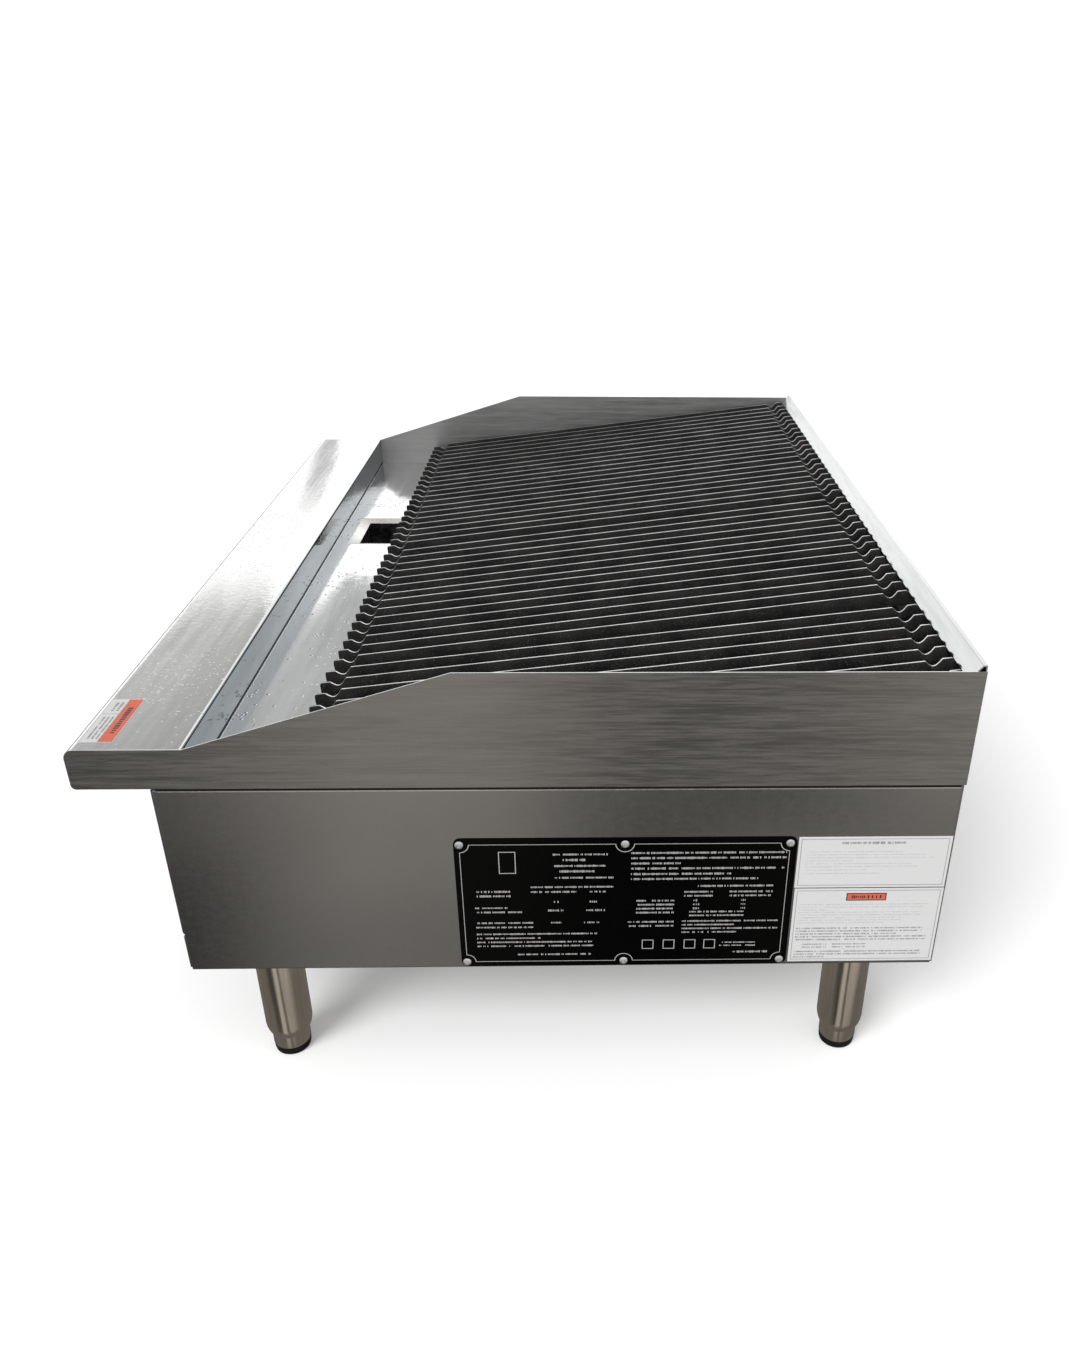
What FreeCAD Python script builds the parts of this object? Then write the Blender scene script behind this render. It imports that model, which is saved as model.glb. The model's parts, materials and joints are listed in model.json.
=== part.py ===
import FreeCAD, Part
import os
import Sketcher
from FreeCAD import Placement, Rotation, Vector

# Countertop gas charbroiler with three burners. Millimetres, +Z up, operator's side at -Y,
# origin on the counter under the middle of the whole machine.

DRIVING_SIZES = {
    "width": 914,           # over the two side splashes
    "front": -365.5,        # Y of the ledge's front face
    "depth": 701,           # ledge front to back panel
    "deck": 298,            # Z where the top frame sits on the lower body
    "sheet": 1.5,           # stainless sheet thickness
    "ledgeheight": 35.3,
    "ledgedepth": 90,
    "bullnose": 8,
    "floorrise": 0.8,       # trough floor over the deck level
    "troughback": 204,
    "troughwall": 16.5,
    "slopeend": 299,        # where the side splash reaches its full height
    "splashheight": 100.4,
    "hemheight": 104.9,     # rear deflector's ridge
    "holeleft": -182.6,     # grease hole, inside
    "holeright": -107.1,
    "holefront": 118.5,
    "holeback": 194,
    "rim": 11.5,            # sloping rim round the grease hole
    "rimdrop": 3,
    "chutedepth": 145,
    "bodyinset": 2.5,       # lower body side, in from the splash
    "bodybottom": 112,
    "panelset": 58,         # control panel, back from the ledge front
    "panelbottom": 150,
    "panelwidth": 905.2,
    "knobpitch": 300,
    "knobheight": 223,      # Z of the valve, knob and burner axes
    "stemradius": 4,
    "grateslope": 7.24,     # degrees, rising to the rear
    "gratefront": 170.1,
    "gratelift": 31.1,      # top line of the bars over the deck, at their front end
    "gratelength": 518.6,
    "barpitch": 21.15,
    "barwidth": 6,
    "bardepth": 14,
    "manifoldback": 84,
    "manifoldheight": 184,
    "piperadius": 13.35,
    "inletx": -395,
    "elbowradius": 20,      # of the inlet elbow's centreline
    "inletreach": 30,
    "threadlength": 24,     # male thread at the inlet pipe's end
    "threadradius": 12.6,   # its pitch radius, which the plain thread stand-in is drawn at
    "burnerradius": 19,
    "linerwidth": 880,
    "linerfront": 209,
    "linerback": 672,
    "linerbottom": 215,
    "trayhalf": 415,
    "traybottom": 116.5,
    "traytop": 146,
    "trayback": 630,
    "legx": 428,
    "legfront": 125.5,
    "legback": 633,
    "plateleft": 291,       # rating plate, back from the ledge front
    "plateright": 571.5,
    "platetop": 248,
    "platebottom": 114.5,
}

BURNERS = (1, 2, 3)
# Middle of each grate section across the machine; they sit loosely, so the gaps differ a little.
GRATE_CENTRES = (382.5, 223.7, 79.2, -74.8, -224.9, -376.4)
RIVET_PLACES = [(y, z) for z in (242, 119.5) for y in (295.8, 430.5, 565.5)]

doc = FreeCAD.newDocument("charbroiler")
sizes = doc.addObject("Spreadsheet::Sheet", "sizes")
for row, (alias, value) in enumerate(DRIVING_SIZES.items(), start=1):
    sizes.set(f"A{row}", alias)
    sizes.set(f"B{row}", str(value))
    sizes.setAlias(f"B{row}", alias)
doc.recompute()

nodes = []


def mm(alias):
    """Value of one driving size."""
    return float(sizes.get(alias))


def named(alias):
    """Put the sheet's name before an alias or a formula's aliases, for setExpression."""
    words = []
    for word in str(alias).split(" "):
        bare = word.strip("()-")
        words.append(word.replace(bare, "sizes." + bare) if bare in DRIVING_SIZES else word)
    return " ".join(words)


def bind(thing, **formulas):
    """Bind properties of one object to formulas of the driving sizes."""
    for name, formula in formulas.items():
        path = ".Placement.Base." + name if name in ("x", "y", "z") else name
        thing.setExpression(path, named(formula))


def keep(thing, label):
    """Give a finished sub-part its own name."""
    thing.Label = label
    nodes.append(thing)
    return thing


# ---- sketch helpers -------------------------------------------------------------------------


def new_body(label):
    body = doc.addObject("PartDesign::Body", label)
    keep(body, label)
    return body


def sketch_on(body, role):
    sketch = body.newObject("Sketcher::SketchObject", body.Name + "_sketch")
    plane = [item for item in body.Origin.OriginFeatures if item.Role == role][0]
    sketch.AttachmentSupport = [(plane, "")]
    sketch.MapMode = "FlatFace"
    return sketch


def outline(sketch, corners):
    """Closed straight-sided outline whose corners are formulas, each held from the origin."""
    first = sketch.GeometryCount
    count = len(corners)
    for i in range(count):
        start = Vector(i, i * i % 7, 0)
        end = Vector((i + 1) % count, ((i + 1) % count) ** 2 % 7, 0)
        sketch.addGeometry(Part.LineSegment(start, end), False)
    joins = [
        Sketcher.Constraint("Coincident", first + i, 2, first + (i + 1) % count, 1)
        for i in range(count)
    ]
    sketch.addConstraint(joins)
    for i, corner in enumerate(corners):
        for kind, formula in zip(("DistanceX", "DistanceY"), corner):
            number = sketch.addConstraint(Sketcher.Constraint(kind, -1, 1, first + i, 1, 1.0))
            sketch.setExpression(f"Constraints[{number}]", named(formula))
    return sketch


def rectangle(sketch, left, low, right, high):
    return outline(sketch, [(left, low), (right, low), (right, high), (left, high)])


def circle(sketch, u, v, radius):
    """Circle held by formulas for its centre and radius."""
    index = sketch.addGeometry(Part.Circle(Vector(1, 1, 0), Vector(0, 0, 1), 2), False)
    held = (("DistanceX", (-1, 1, index, 3, 1.0), u), ("DistanceY", (-1, 1, index, 3, 1.0), v))
    for kind, places, formula in held:
        number = sketch.addConstraint(Sketcher.Constraint(kind, *places))
        sketch.setExpression(f"Constraints[{number}]", named(formula))
    number = sketch.addConstraint(Sketcher.Constraint("Radius", index, 2.0))
    sketch.setExpression(f"Constraints[{number}]", named(radius))
    return sketch


def pad(body, sketch, length, symmetric=False):
    feature = body.newObject("PartDesign::Pad", body.Name + "_pad")
    feature.Profile = sketch
    if symmetric:
        feature.SideType = "Symmetric"
    feature.setExpression("Length", named(length))
    doc.recompute()
    return feature


def cut_through(body, sketch):
    """Pocket both ways from the sketch, checked to have removed something."""
    before = body.Shape.Volume
    feature = body.newObject("PartDesign::Pocket", body.Name + "_cut")
    feature.Profile = sketch
    feature.Type = "ThroughAll"
    feature.SideType = "Symmetric"
    doc.recompute()
    if body.Shape.Volume > before - 0.1:
        raise RuntimeError(body.Label + ": the cut removed nothing")
    return feature


def repeat(body, feature, axis, length, count):
    """Linear pattern of one feature along X, Y or Z of its body."""
    pattern = body.newObject("PartDesign::LinearPattern", body.Name + "_row")
    pattern.Originals = [feature]
    line = [item for item in body.Origin.OriginFeatures if item.Role == axis + "_Axis"][0]
    pattern.Direction = (line, [""])
    pattern.setExpression("Length", named(length))
    pattern.Occurrences = count
    body.Tip = pattern
    doc.recompute()
    return pattern


def round_corners(body, base, sketch, radii):
    """Fillet the padded edges that stand on the given corners of the sketch."""
    for radius, corners in radii:
        places = []
        for corner in corners:
            places.append(sketch.Placement.multVec(sketch.Geometry[corner].StartPoint))
        names = []
        for number, edge in enumerate(base.Shape.Edges, start=1):
            for place in places:
                if len(edge.Vertexes) == 2 and stands_on(edge, place, sketch):
                    names.append(f"Edge{number}")
        fillet = body.newObject("PartDesign::Fillet", body.Name + "_bend")
        fillet.Base = (base, names)
        fillet.setExpression("Radius", named(radius))
        doc.recompute()
        base = fillet
    return base


def stands_on(edge, place, sketch):
    """True where both ends of an edge lie straight over or under a point of the sketch."""
    normal = sketch.Placement.Rotation.multVec(Vector(0, 0, 1))
    for vertex in edge.Vertexes:
        offset = vertex.Point - place
        if (offset - normal * offset.dot(normal)).Length > 0.01:
            return False
    return True


def folded(label, role, corners, length, radii=(), symmetric=True):
    """Bent sheet: an outline of the sheet's section, padded, with its bends rounded."""
    body = new_body(label)
    sketch = outline(sketch_on(body, role), corners)
    base = pad(body, sketch, length, symmetric)
    round_corners(body, base, sketch, radii)
    return body


def revolved(body, corners, axis):
    """Solid of revolution from an outline whose first coordinate runs out from the axis."""
    role = "YZ_Plane" if axis == "Y" else "XZ_Plane"
    if axis == "Y":
        corners = [(along, out) for out, along in corners]
    sketch = outline(sketch_on(body, role), corners)
    feature = body.newObject("PartDesign::Revolution", body.Name + "_turned")
    feature.Profile = sketch
    line = [item for item in body.Origin.OriginFeatures if item.Role == axis + "_Axis"][0]
    feature.ReferenceAxis = (line, [""])
    feature.Angle = 360
    doc.recompute()
    return feature


# ---- primitive helpers ----------------------------------------------------------------------


def box(name, x, y, z, length, width, height):
    item = doc.addObject("Part::Box", name)
    bind(item, x=x, y=y, z=z, Length=length, Width=width, Height=height)
    return item


def rod(name, x, y, z, radius, height, axis="Y"):
    """Cylinder that starts at a point and runs along +Y, +Z or +X."""
    item = doc.addObject("Part::Cylinder", name)
    turn = {"X": Rotation(Vector(0, 1, 0), 90), "Y": Rotation(Vector(1, 0, 0), -90), "Z": Rotation()}
    item.Placement = Placement(Vector(), turn[axis])
    bind(item, x=x, y=y, z=z, Radius=radius, Height=height)
    return item


def joined(name, items):
    item = doc.addObject("Part::MultiFuse", name)
    item.Shapes = items
    return item


def cut(name, base, tool):
    item = doc.addObject("Part::Cut", name)
    item.Base = base
    item.Tool = tool
    return item


def group(label, items):
    """One node of several separate, identical pieces."""
    item = doc.addObject("Part::Compound", label)
    item.Links = items
    return keep(item, label)


def back(distance):
    """Formula for a Y measured back from the ledge's front face."""
    return f"front + {distance}"


def over(height):
    """Formula for a Z measured from the deck level."""
    return f"deck + {height}"


def burner_x(number):
    return f"knobpitch * {number - 2}"


# ---- top frame ------------------------------------------------------------------------------


def side_splash(label, side):
    """Side sheet that rises from the ledge to the full splash height, rounded at the front."""
    body = new_body(label)
    corners = [
        ("front", "deck"),
        ("front", "deck + ledgeheight"),
        ("front + ledgedepth", "deck + ledgeheight"),
        ("front + slopeend", "deck + splashheight"),
        ("front + depth", "deck + splashheight"),
        ("front + depth", "deck"),
    ]
    sketch = outline(sketch_on(body, "YZ_Plane"), corners)
    base = pad(body, sketch, "sheet")
    round_corners(body, base, sketch, [("bullnose / 2", [0]), ("bullnose", [1])])
    bind(body, x="width / 2 - sheet" if side > 0 else "-width / 2")


def front_ledge():
    """Front face, bullnose, ledge and the drop into the trough, bent from one sheet."""
    corners = [
        (back(16), "deck"),
        ("front", "deck"),
        ("front", "deck + ledgeheight"),
        ("front + ledgedepth", "deck + ledgeheight"),
        ("front + ledgedepth", "deck + floorrise"),
        ("front + ledgedepth - sheet", "deck + floorrise"),
        ("front + ledgedepth - sheet", "deck + ledgeheight - sheet"),
        ("front + sheet", "deck + ledgeheight - sheet"),
        ("front + sheet", "deck + sheet"),
        (back(16), "deck + sheet"),
    ]
    bends = [
        ("bullnose", [2]),
        ("bullnose - sheet", [7]),
        ("bullnose / 2", [1]),
        ("bullnose / 2 - sheet", [8]),
        ("sheet * 2", [3]),
        ("sheet", [6]),
    ]
    folded("front_ledge", "YZ_Plane", corners, "width - 2 * sheet - 0.2", bends)


def grease_trough():
    """Trough floor with the opening for the chute, turned up behind to carry the front rail."""
    corners = [
        ("front + ledgedepth - sheet", "deck + floorrise"),
        ("front + troughback", "deck + floorrise"),
        ("front + troughback", "deck + troughwall"),
        ("front + troughback + sheet", "deck + troughwall"),
        ("front + troughback + sheet", "deck + floorrise - sheet"),
        ("front + ledgedepth - sheet", "deck + floorrise - sheet"),
    ]
    bends = [("sheet * 1.5", [4])]
    body = folded("grease_trough", "YZ_Plane", corners, "width - 2 * sheet - 0.2", bends)
    hole = rectangle(
        sketch_on(body, "XY_Plane"),
        "holeleft - rim",
        "front + holefront - rim",
        "holeright + rim",
        "front + holeback + 6",
    )
    cut_through(body, hole)


def wedge(name, shrink, top, height):
    """Four-sided funnel block that narrows from the rim down to the hole."""
    item = doc.addObject("Part::Wedge", name)
    item.Placement = Placement(Vector(), Rotation(Vector(1, 0, 0), 90))
    formulas = {
        "Xmin": f"holeleft - {shrink}",
        "Xmax": f"holeright + {shrink}",
        "X2min": f"holeleft - rim - {shrink}",
        "X2max": f"holeright + rim + {shrink}",
        "Zmin": f"-(front + holeback + {shrink})",
        "Zmax": f"-(front + holefront - {shrink})",
        "Z2min": f"-(front + holeback + {shrink} + 5)",
        "Z2max": f"-(front + holefront - rim - {shrink})",
        "Ymin": f"{top} - {height}",
        "Ymax": top,
    }
    for side, formula in formulas.items():
        item.setExpression(side, named(formula))
    return item


def grease_chute():
    """Sloping rim in the trough floor and the square duct that drops to the drip tray."""
    top = "deck + floorrise"
    outer = wedge("chute_rim", "1.1", top, "rimdrop")
    duct = box(
        "chute_duct",
        "holeleft - 1.1",
        "front + holefront - 1.1",
        "deck + floorrise - rimdrop - chutedepth",
        "holeright - holeleft + 2.2",
        "holeback - holefront + 2.2",
        "chutedepth",
    )
    funnel = wedge("chute_funnel", "0", "deck + floorrise + 0.01", "rimdrop")
    bore = box(
        "chute_bore",
        "holeleft",
        "front + holefront",
        "deck + floorrise - rimdrop - chutedepth - 1",
        "holeright - holeleft",
        "holeback - holefront",
        "chutedepth + 1.02",
    )
    outside = joined("chute_outside", [outer, duct])
    shell = cut("chute_shell", outside, joined("chute_inside", [funnel, bore]))
    limits = box(
        "chute_limits",
        "holeleft - rim + 0.1",
        "front + holefront - rim + 0.1",
        "deck - 400",
        "holeright - holeleft + 2 * rim - 0.2",
        "holeback - holefront + rim + 5.8",
        "400 + floorrise",
    )
    item = doc.addObject("Part::Common", "grease_chute")
    item.Base = shell
    item.Tool = limits
    keep(item, "grease_chute")


def rear_splash():
    """Back sheet of the top frame, folded over into the sloping deflector behind the grates."""
    corners = [
        ("front + depth", "deck"),
        ("front + depth", "deck + hemheight"),
        ("front + depth - 3.5", "deck + hemheight"),
        ("front + depth - 13.5", "deck + hemheight - 12"),
        ("front + depth - 12.6", "deck + hemheight - 12.8"),
        ("front + depth - 2.95", "deck + hemheight - 1.2"),
        ("front + depth - 1.2", "deck + hemheight - 1.2"),
        ("front + depth - 1.2", "deck"),
    ]
    folded("rear_splash", "YZ_Plane", corners, "width - 2 * sheet - 0.2", [("1", [1])])


# ---- lower body -----------------------------------------------------------------------------


def body_side(label, side):
    """Side sheet of the lower body with its top and bottom edges folded inwards."""
    sign = "" if side > 0 else "-"
    face = "(width / 2 - bodyinset"
    corners = [
        (f"{sign}{face} - 12)", over(-2)),
        (f"{sign}{face})", over(-2)),
        (f"{sign}{face})", "bodybottom"),
        (f"{sign}{face} - 10)", "bodybottom"),
        (f"{sign}{face} - 10)", "bodybottom + sheet"),
        (f"{sign}{face} - sheet)", "bodybottom + sheet"),
        (f"{sign}{face} - sheet)", "deck - 2 - sheet"),
        (f"{sign}{face} - 12)", "deck - 2 - sheet"),
    ]
    bends = [("sheet * 1.6", [1, 2]), ("sheet * 0.6", [5, 6])]
    body = folded(label, "XZ_Plane", corners, "depth - panelset - 4", bends, symmetric=False)
    bind(body, y="front + depth - 2")


def control_panel():
    """Front panel with holes for the stems, the igniters and the viewing holes between them."""
    corners = [
        ("front + panelset + 12", "panelbottom"),
        ("front + panelset", "panelbottom"),
        ("front + panelset", over(-2)),
        ("front + panelset + 12", over(-2)),
        ("front + panelset + 12", "deck - 2 - sheet"),
        ("front + panelset + sheet", "deck - 2 - sheet"),
        ("front + panelset + sheet", "panelbottom + sheet"),
        ("front + panelset + 12", "panelbottom + sheet"),
    ]
    bends = [("sheet * 1.6", [1, 2]), ("sheet * 0.6", [5, 6])]
    body = folded("control_panel", "YZ_Plane", corners, "panelwidth", bends)
    holes = sketch_on(body, "XZ_Plane")
    for number in BURNERS:
        centre = burner_x(number)
        circle(holes, centre, "knobheight", "stemradius + 2.3")
        circle(holes, f"{centre} + 42", "knobheight", "6")
        circle(holes, f"{centre} + 75", "knobheight", "11")
    cut_through(body, holes)
    corners = sketch_on(body, "XY_Plane")
    ends = ("front + panelset + sheet + 0.1", "front + panelset + 13")
    rectangle(corners, "panelwidth / 2 - 10.4", ends[0], "panelwidth / 2 + 1", ends[1])
    rectangle(corners, "-panelwidth / 2 - 1", ends[0], "-panelwidth / 2 + 10.4", ends[1])
    cut_through(body, corners)


def back_panel():
    """Flat back sheet with two rows of air slots and the hole for the gas inlet pipe."""
    body = new_body("back_panel")
    sheet_outline = rectangle(
        sketch_on(body, "XZ_Plane"), "-panelwidth / 2", "bodybottom + 1", "panelwidth / 2", over(-2)
    )
    pad(body, sheet_outline, "sheet")
    bind(body, y="front + depth")
    inlet = circle(sketch_on(body, "XZ_Plane"), "inletx", "manifoldheight", "piperadius + 0.8")
    cut_through(body, inlet)
    for height in (262, 238):
        slot = rectangle(sketch_on(body, "XZ_Plane"), "-400", str(height), "-360", str(height + 6))
        repeat(body, cut_through(body, slot), "X", "760", 12)


def bottom_pan():
    """Floor sheet with air slots and clearance holes for the leg studs."""
    body = new_body("bottom_pan")
    floor = rectangle(
        sketch_on(body, "XY_Plane"),
        "-panelwidth / 2 + 2",
        back(61),
        "panelwidth / 2 - 2",
        "front + depth - 3",
    )
    pad(body, floor, "sheet")
    bind(body, z="bodybottom + sheet + 0.1")
    holes = sketch_on(body, "XY_Plane")
    for sign in ("", "-"):
        for place in ("legfront", "legback"):
            circle(holes, f"{sign}legx", f"front + {place}", "5.3")
    cut_through(body, holes)
    slot = rectangle(sketch_on(body, "XY_Plane"), "-366", back(260), "-354", back(340))
    row = cut_through(body, slot)
    repeat(body, row, "X", "720", 13)


# ---- burner box -----------------------------------------------------------------------------


def sloped_block(name, x, along, down, length, width, height):
    """Block laid in the slope of the grates, placed from the front end of their top line."""
    slope = mm("grateslope")
    turn = Rotation(Vector(1, 0, 0), slope)
    item = doc.addObject("Part::Box", name)
    item.Placement = Placement(Vector(), turn)
    bind(item, x=x, Length=length, Width=width, Height=height)
    item.setExpression(
        ".Placement.Base.y",
        named(f"front + gratefront + ( {along} ) * cos({slope}) + ( {down} ) * sin({slope})"),
    )
    item.setExpression(
        ".Placement.Base.z",
        named(f"deck + gratelift + ( {along} ) * sin({slope}) - ( {down} ) * cos({slope})"),
    )
    return item


def firebox_liner():
    """Four walls round the burners, their top edges sloping with the grates."""
    outer = box(
        "liner_outside",
        "-linerwidth / 2",
        "front + linerfront",
        "linerbottom",
        "linerwidth",
        "linerback - linerfront",
        "200",
    )
    inner = box(
        "liner_inside",
        "-linerwidth / 2 + sheet",
        "front + linerfront + sheet",
        "linerbottom - 1",
        "linerwidth - 2 * sheet",
        "linerback - linerfront - 2 * sheet",
        "202",
    )
    left = "-linerwidth / 2 - 10"
    above = sloped_block("liner_above", left, "-60", "bardepth + 1.5", "linerwidth + 20", "700", "300")
    gaps = [above, inner]
    for number in BURNERS:
        gaps.append(
            box(
                f"liner_gap_{number}",
                f"{burner_x(number)} - 36",
                "front + linerfront - 5",
                "linerbottom - 1",
                "72",
                "15",
                "36",
            )
        )
    keep(cut("firebox_liner", outer, joined("liner_gaps", gaps)), "firebox_liner")


def grate_rails():
    """Flat bars under the front of the bars and under their rear tongues."""
    span = "width - 2 * sheet - 0.2"
    left = "-width / 2 + sheet + 0.1"
    front = sloped_block("grate_rail_front", left, "20", "bardepth + 4.2", span, "16", "4")
    keep(front, "grate_rail_front")
    rear = sloped_block("grate_rail_rear", left, "gratelength - 10.5", "16.2", span, "22", "4")
    keep(rear, "grate_rail_rear")


def burner_rails():
    """Two upright bars, notched for the burners, that also carry the radiants."""
    bars = []
    for name, place in (("front", 222), ("rear", 640)):
        bar = box(
            f"burner_bar_{name}",
            "-linerwidth / 2 + sheet + 0.1",
            back(place),
            "knobheight - 24",
            "linerwidth - 2 * sheet - 0.2",
            "3",
            "45",
        )
        notches = []
        for number in BURNERS:
            centre = burner_x(number)
            tag = f"{name}_{number}"
            start = back(place - 1)
            low = f"{centre} - burnerradius - 0.3"
            wide = "2 * burnerradius + 0.6"
            notches.append(rod("notch_" + tag, centre, start, "knobheight", "burnerradius + 0.3", "5"))
            notches.append(box("notch_top_" + tag, low, start, "knobheight", wide, "5", "60"))
        bars.append(cut(f"burner_rail_{name}", bar, joined(f"notches_{name}", notches)))
    group("burner_rails", bars)


def burner(number):
    """Straight tube burner: open venturi at the front, closed at the rear, ports down each side."""
    body = new_body(f"burner_{number}")
    section = [
        ("13", "116"),
        ("16", "114"),
        ("15.5", "122"),
        ("13", "150"),
        ("burnerradius", "200"),
        ("burnerradius", "655"),
        ("burnerradius - 6", "660"),
        ("0", "660"),
        ("0", "657"),
        ("burnerradius - 7", "657"),
        ("burnerradius - 3", "653"),
        ("burnerradius - 3", "201"),
        ("11", "150"),
        ("12.5", "123"),
    ]
    revolved(body, section, "Y")
    ports = rectangle(sketch_on(body, "YZ_Plane"), "235", "3", "237.5", "9")
    repeat(body, cut_through(body, ports), "Y", "390", 40)
    bind(body, x=burner_x(number), y="front", z="knobheight")


def radiant(number):
    """Steel roof over one burner, bent along its ridge, with rows of slots down both slopes."""
    body = new_body(f"radiant_{number}")
    section = [("-74", "0"), ("0", "40"), ("74", "0"), ("71", "0"), ("0", "38"), ("-71", "0")]
    sketch = outline(sketch_on(body, "XZ_Plane"), section)
    pad(body, sketch, "434")
    slots = sketch_on(body, "XY_Plane")
    for side in (-1, 1):
        left, right = sorted((side * 22, side * 58))
        rectangle(slots, str(left), "-24", str(right), "-18")
    repeat_back(body, cut_through(body, slots))
    bind(body, x=burner_x(number), y=back(652), z="knobheight + 21.3")


def repeat_back(body, feature):
    """Row of the radiant's slots from its rear end forwards."""
    pattern = repeat(body, feature, "Y", "385", 18)
    pattern.Reversed = True
    doc.recompute()


# ---- gas train ------------------------------------------------------------------------------


def manifold():
    """Cross pipe behind the panel, with a socket for each valve."""
    y = "front + manifoldback"
    z = "manifoldheight"
    outer = rod("manifold_outside", "-367", y, z, "piperadius", "747", "X")
    inner = rod("manifold_bore", "-368", y, z, "piperadius - 2.9", "744", "X")
    sockets = [rod(f"socket_{n}", burner_x(n), y, z, "6.8", "30", "Z") for n in BURNERS]
    keep(cut("manifold_pipe", outer, joined("manifold_holes", [inner] + sockets)), "manifold_pipe")


def inlet_pipe():
    """Elbow at the manifold's end and the pipe that runs out through the back panel."""
    x = "inletx"
    y = "front + manifoldback"
    z = "manifoldheight"
    start = "front + manifoldback + elbowradius"
    run = "depth - manifoldback - elbowradius + inletreach - threadlength"
    link = "-367 - inletx - elbowradius"
    outside = joined(
        "inlet_outside",
        [
            quarter_bend("inlet_elbow", "piperadius + 2.5"),
            rod("inlet_link", "inletx + elbowradius", y, z, "piperadius", link, "X"),
            rod("inlet_run", x, start, z, "piperadius", run),
            rod("inlet_thread", x, f"{start} + {run}", z, "threadradius", "threadlength"),
        ],
    )
    bore = "piperadius - 2.9"
    bores = joined(
        "inlet_bores",
        [
            quarter_bend("elbow_bore", bore),
            rod("link_bore", "inletx + elbowradius", y, z, bore, link + " + 1", "X"),
            rod("run_bore", x, start, z, bore, run + " + threadlength + 1"),
        ],
    )
    keep(cut("inlet_pipe", outside, bores), "inlet_pipe")


def quarter_bend(name, radius):
    """Quarter of a torus from the inlet pipe's run to the manifold's axis."""
    bend = doc.addObject("Part::Torus", name)
    bend.Placement = Placement(Vector(), Rotation(Vector(0, 0, 1), 180))
    bend.Angle3 = 90
    y = "front + manifoldback + elbowradius"
    bind(bend, x="inletx + elbowradius", y=y, z="manifoldheight", Radius1="elbowradius", Radius2=radius)
    return bend


def gas_valve(number):
    """Brass valve: block, bonnet for the spring cup, nipple into the manifold."""
    x = burner_x(number)
    solid = joined(
        f"valve_solid_{number}",
        [
            box(f"valve_block_{number}", f"{x} - 14", back(66), "knobheight - 13", "28", "34", "26"),
            rod(f"valve_bonnet_{number}", x, back(60.5), "knobheight", "10", "10"),
            rod(f"valve_nipple_{number}", x, "front + manifoldback", "knobheight - 31", "6.5", "28", "Z"),
        ],
    )
    holes = joined(
        f"valve_holes_{number}",
        [
            rod(f"cup_bore_{number}", x, back(60), "knobheight", "7.4", "12"),
            rod(f"stem_bore_{number}", x, back(60), "knobheight", "stemradius + 0.3", "33"),
        ],
    )
    keep(cut(f"gas_valve_{number}", solid, holes), f"gas_valve_{number}")


def valve_stem(number):
    """Round stem with a flat where the knob grips it."""
    x = burner_x(number)
    shaft = rod(f"stem_shaft_{number}", x, back(31), "knobheight", "stemradius", "57")
    flat = box(f"stem_flat_{number}", f"{x} - 6", back(30), "knobheight + 2.5", "12", "19", "5")
    keep(cut(f"valve_stem_{number}", shaft, flat), f"valve_stem_{number}")


def spring_cup(number):
    """Washer that rides on the stem and takes the return spring's push."""
    x = burner_x(number)
    disc = rod(f"cup_disc_{number}", x, back(62.5), "knobheight", "7.1", "3.5")
    hole = rod(f"cup_hole_{number}", x, back(62), "knobheight", "stemradius + 0.08", "5")
    keep(cut(f"spring_cup_{number}", disc, hole), f"spring_cup_{number}")


def knob(number):
    """Turned knob with a skirt and a raised grip bar, bored for the stem."""
    body = new_body(f"knob_{number}")
    section = [
        ("0", "24"),
        ("19", "24"),
        ("20.5", "26"),
        ("22", "44"),
        ("27", "47"),
        ("27", "52"),
        ("stemradius + 0.06", "52"),
        ("stemradius + 0.06", "30.5"),
        ("0", "30.5"),
    ]
    revolved(body, section, "Y")
    grip = sketch_on(body, "YZ_Plane")
    rectangle(grip, "14", "-21", "25", "23.5")
    pad(body, grip, "11", symmetric=True)
    bind(body, x=burner_x(number), y="front", z="knobheight")


def knob_bezels():
    rings = []
    for number in BURNERS:
        x = burner_x(number)
        disc = rod(f"bezel_disc_{number}", x, back(56.5), "knobheight", "36", "1.5")
        hole = rod(f"bezel_hole_{number}", x, back(56), "knobheight", "stemradius + 2.3", "3")
        rings.append(cut(f"bezel_{number}", disc, hole))
    group("knob_bezels", rings)


def igniters():
    """Piezo igniters: threaded barrel with flange and nut, and the button that slides in it."""
    barrels = []
    for number in BURNERS:
        x = f"{burner_x(number)} + 75"
        outside = joined(
            f"igniter_outside_{number}",
            [
                rod(f"igniter_flange_{number}", x, back(55), "knobheight", "14", "3"),
                rod(f"igniter_barrel_{number}", x, back(55), "knobheight", "10.7", "45"),
                rod(f"igniter_nut_{number}", x, back(59.5), "knobheight", "14.5", "4"),
                rod(f"igniter_terminal_{number}", x, back(99), "knobheight", "2", "8"),
            ],
        )
        bore = rod(f"igniter_bore_{number}", x, back(54), "knobheight", "7.6", "42")
        barrels.append(cut(f"igniter_barrel_part_{number}", outside, bore))
        body = new_body(f"igniter_button_{number}")
        revolved(body, [("0", "43"), ("5.4", "43"), ("7.2", "45.2"), ("7.2", "85"), ("0", "85")], "Y")
        bind(body, x=x, y="front", z="knobheight")
    group("igniter_bodies", barrels)


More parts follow.
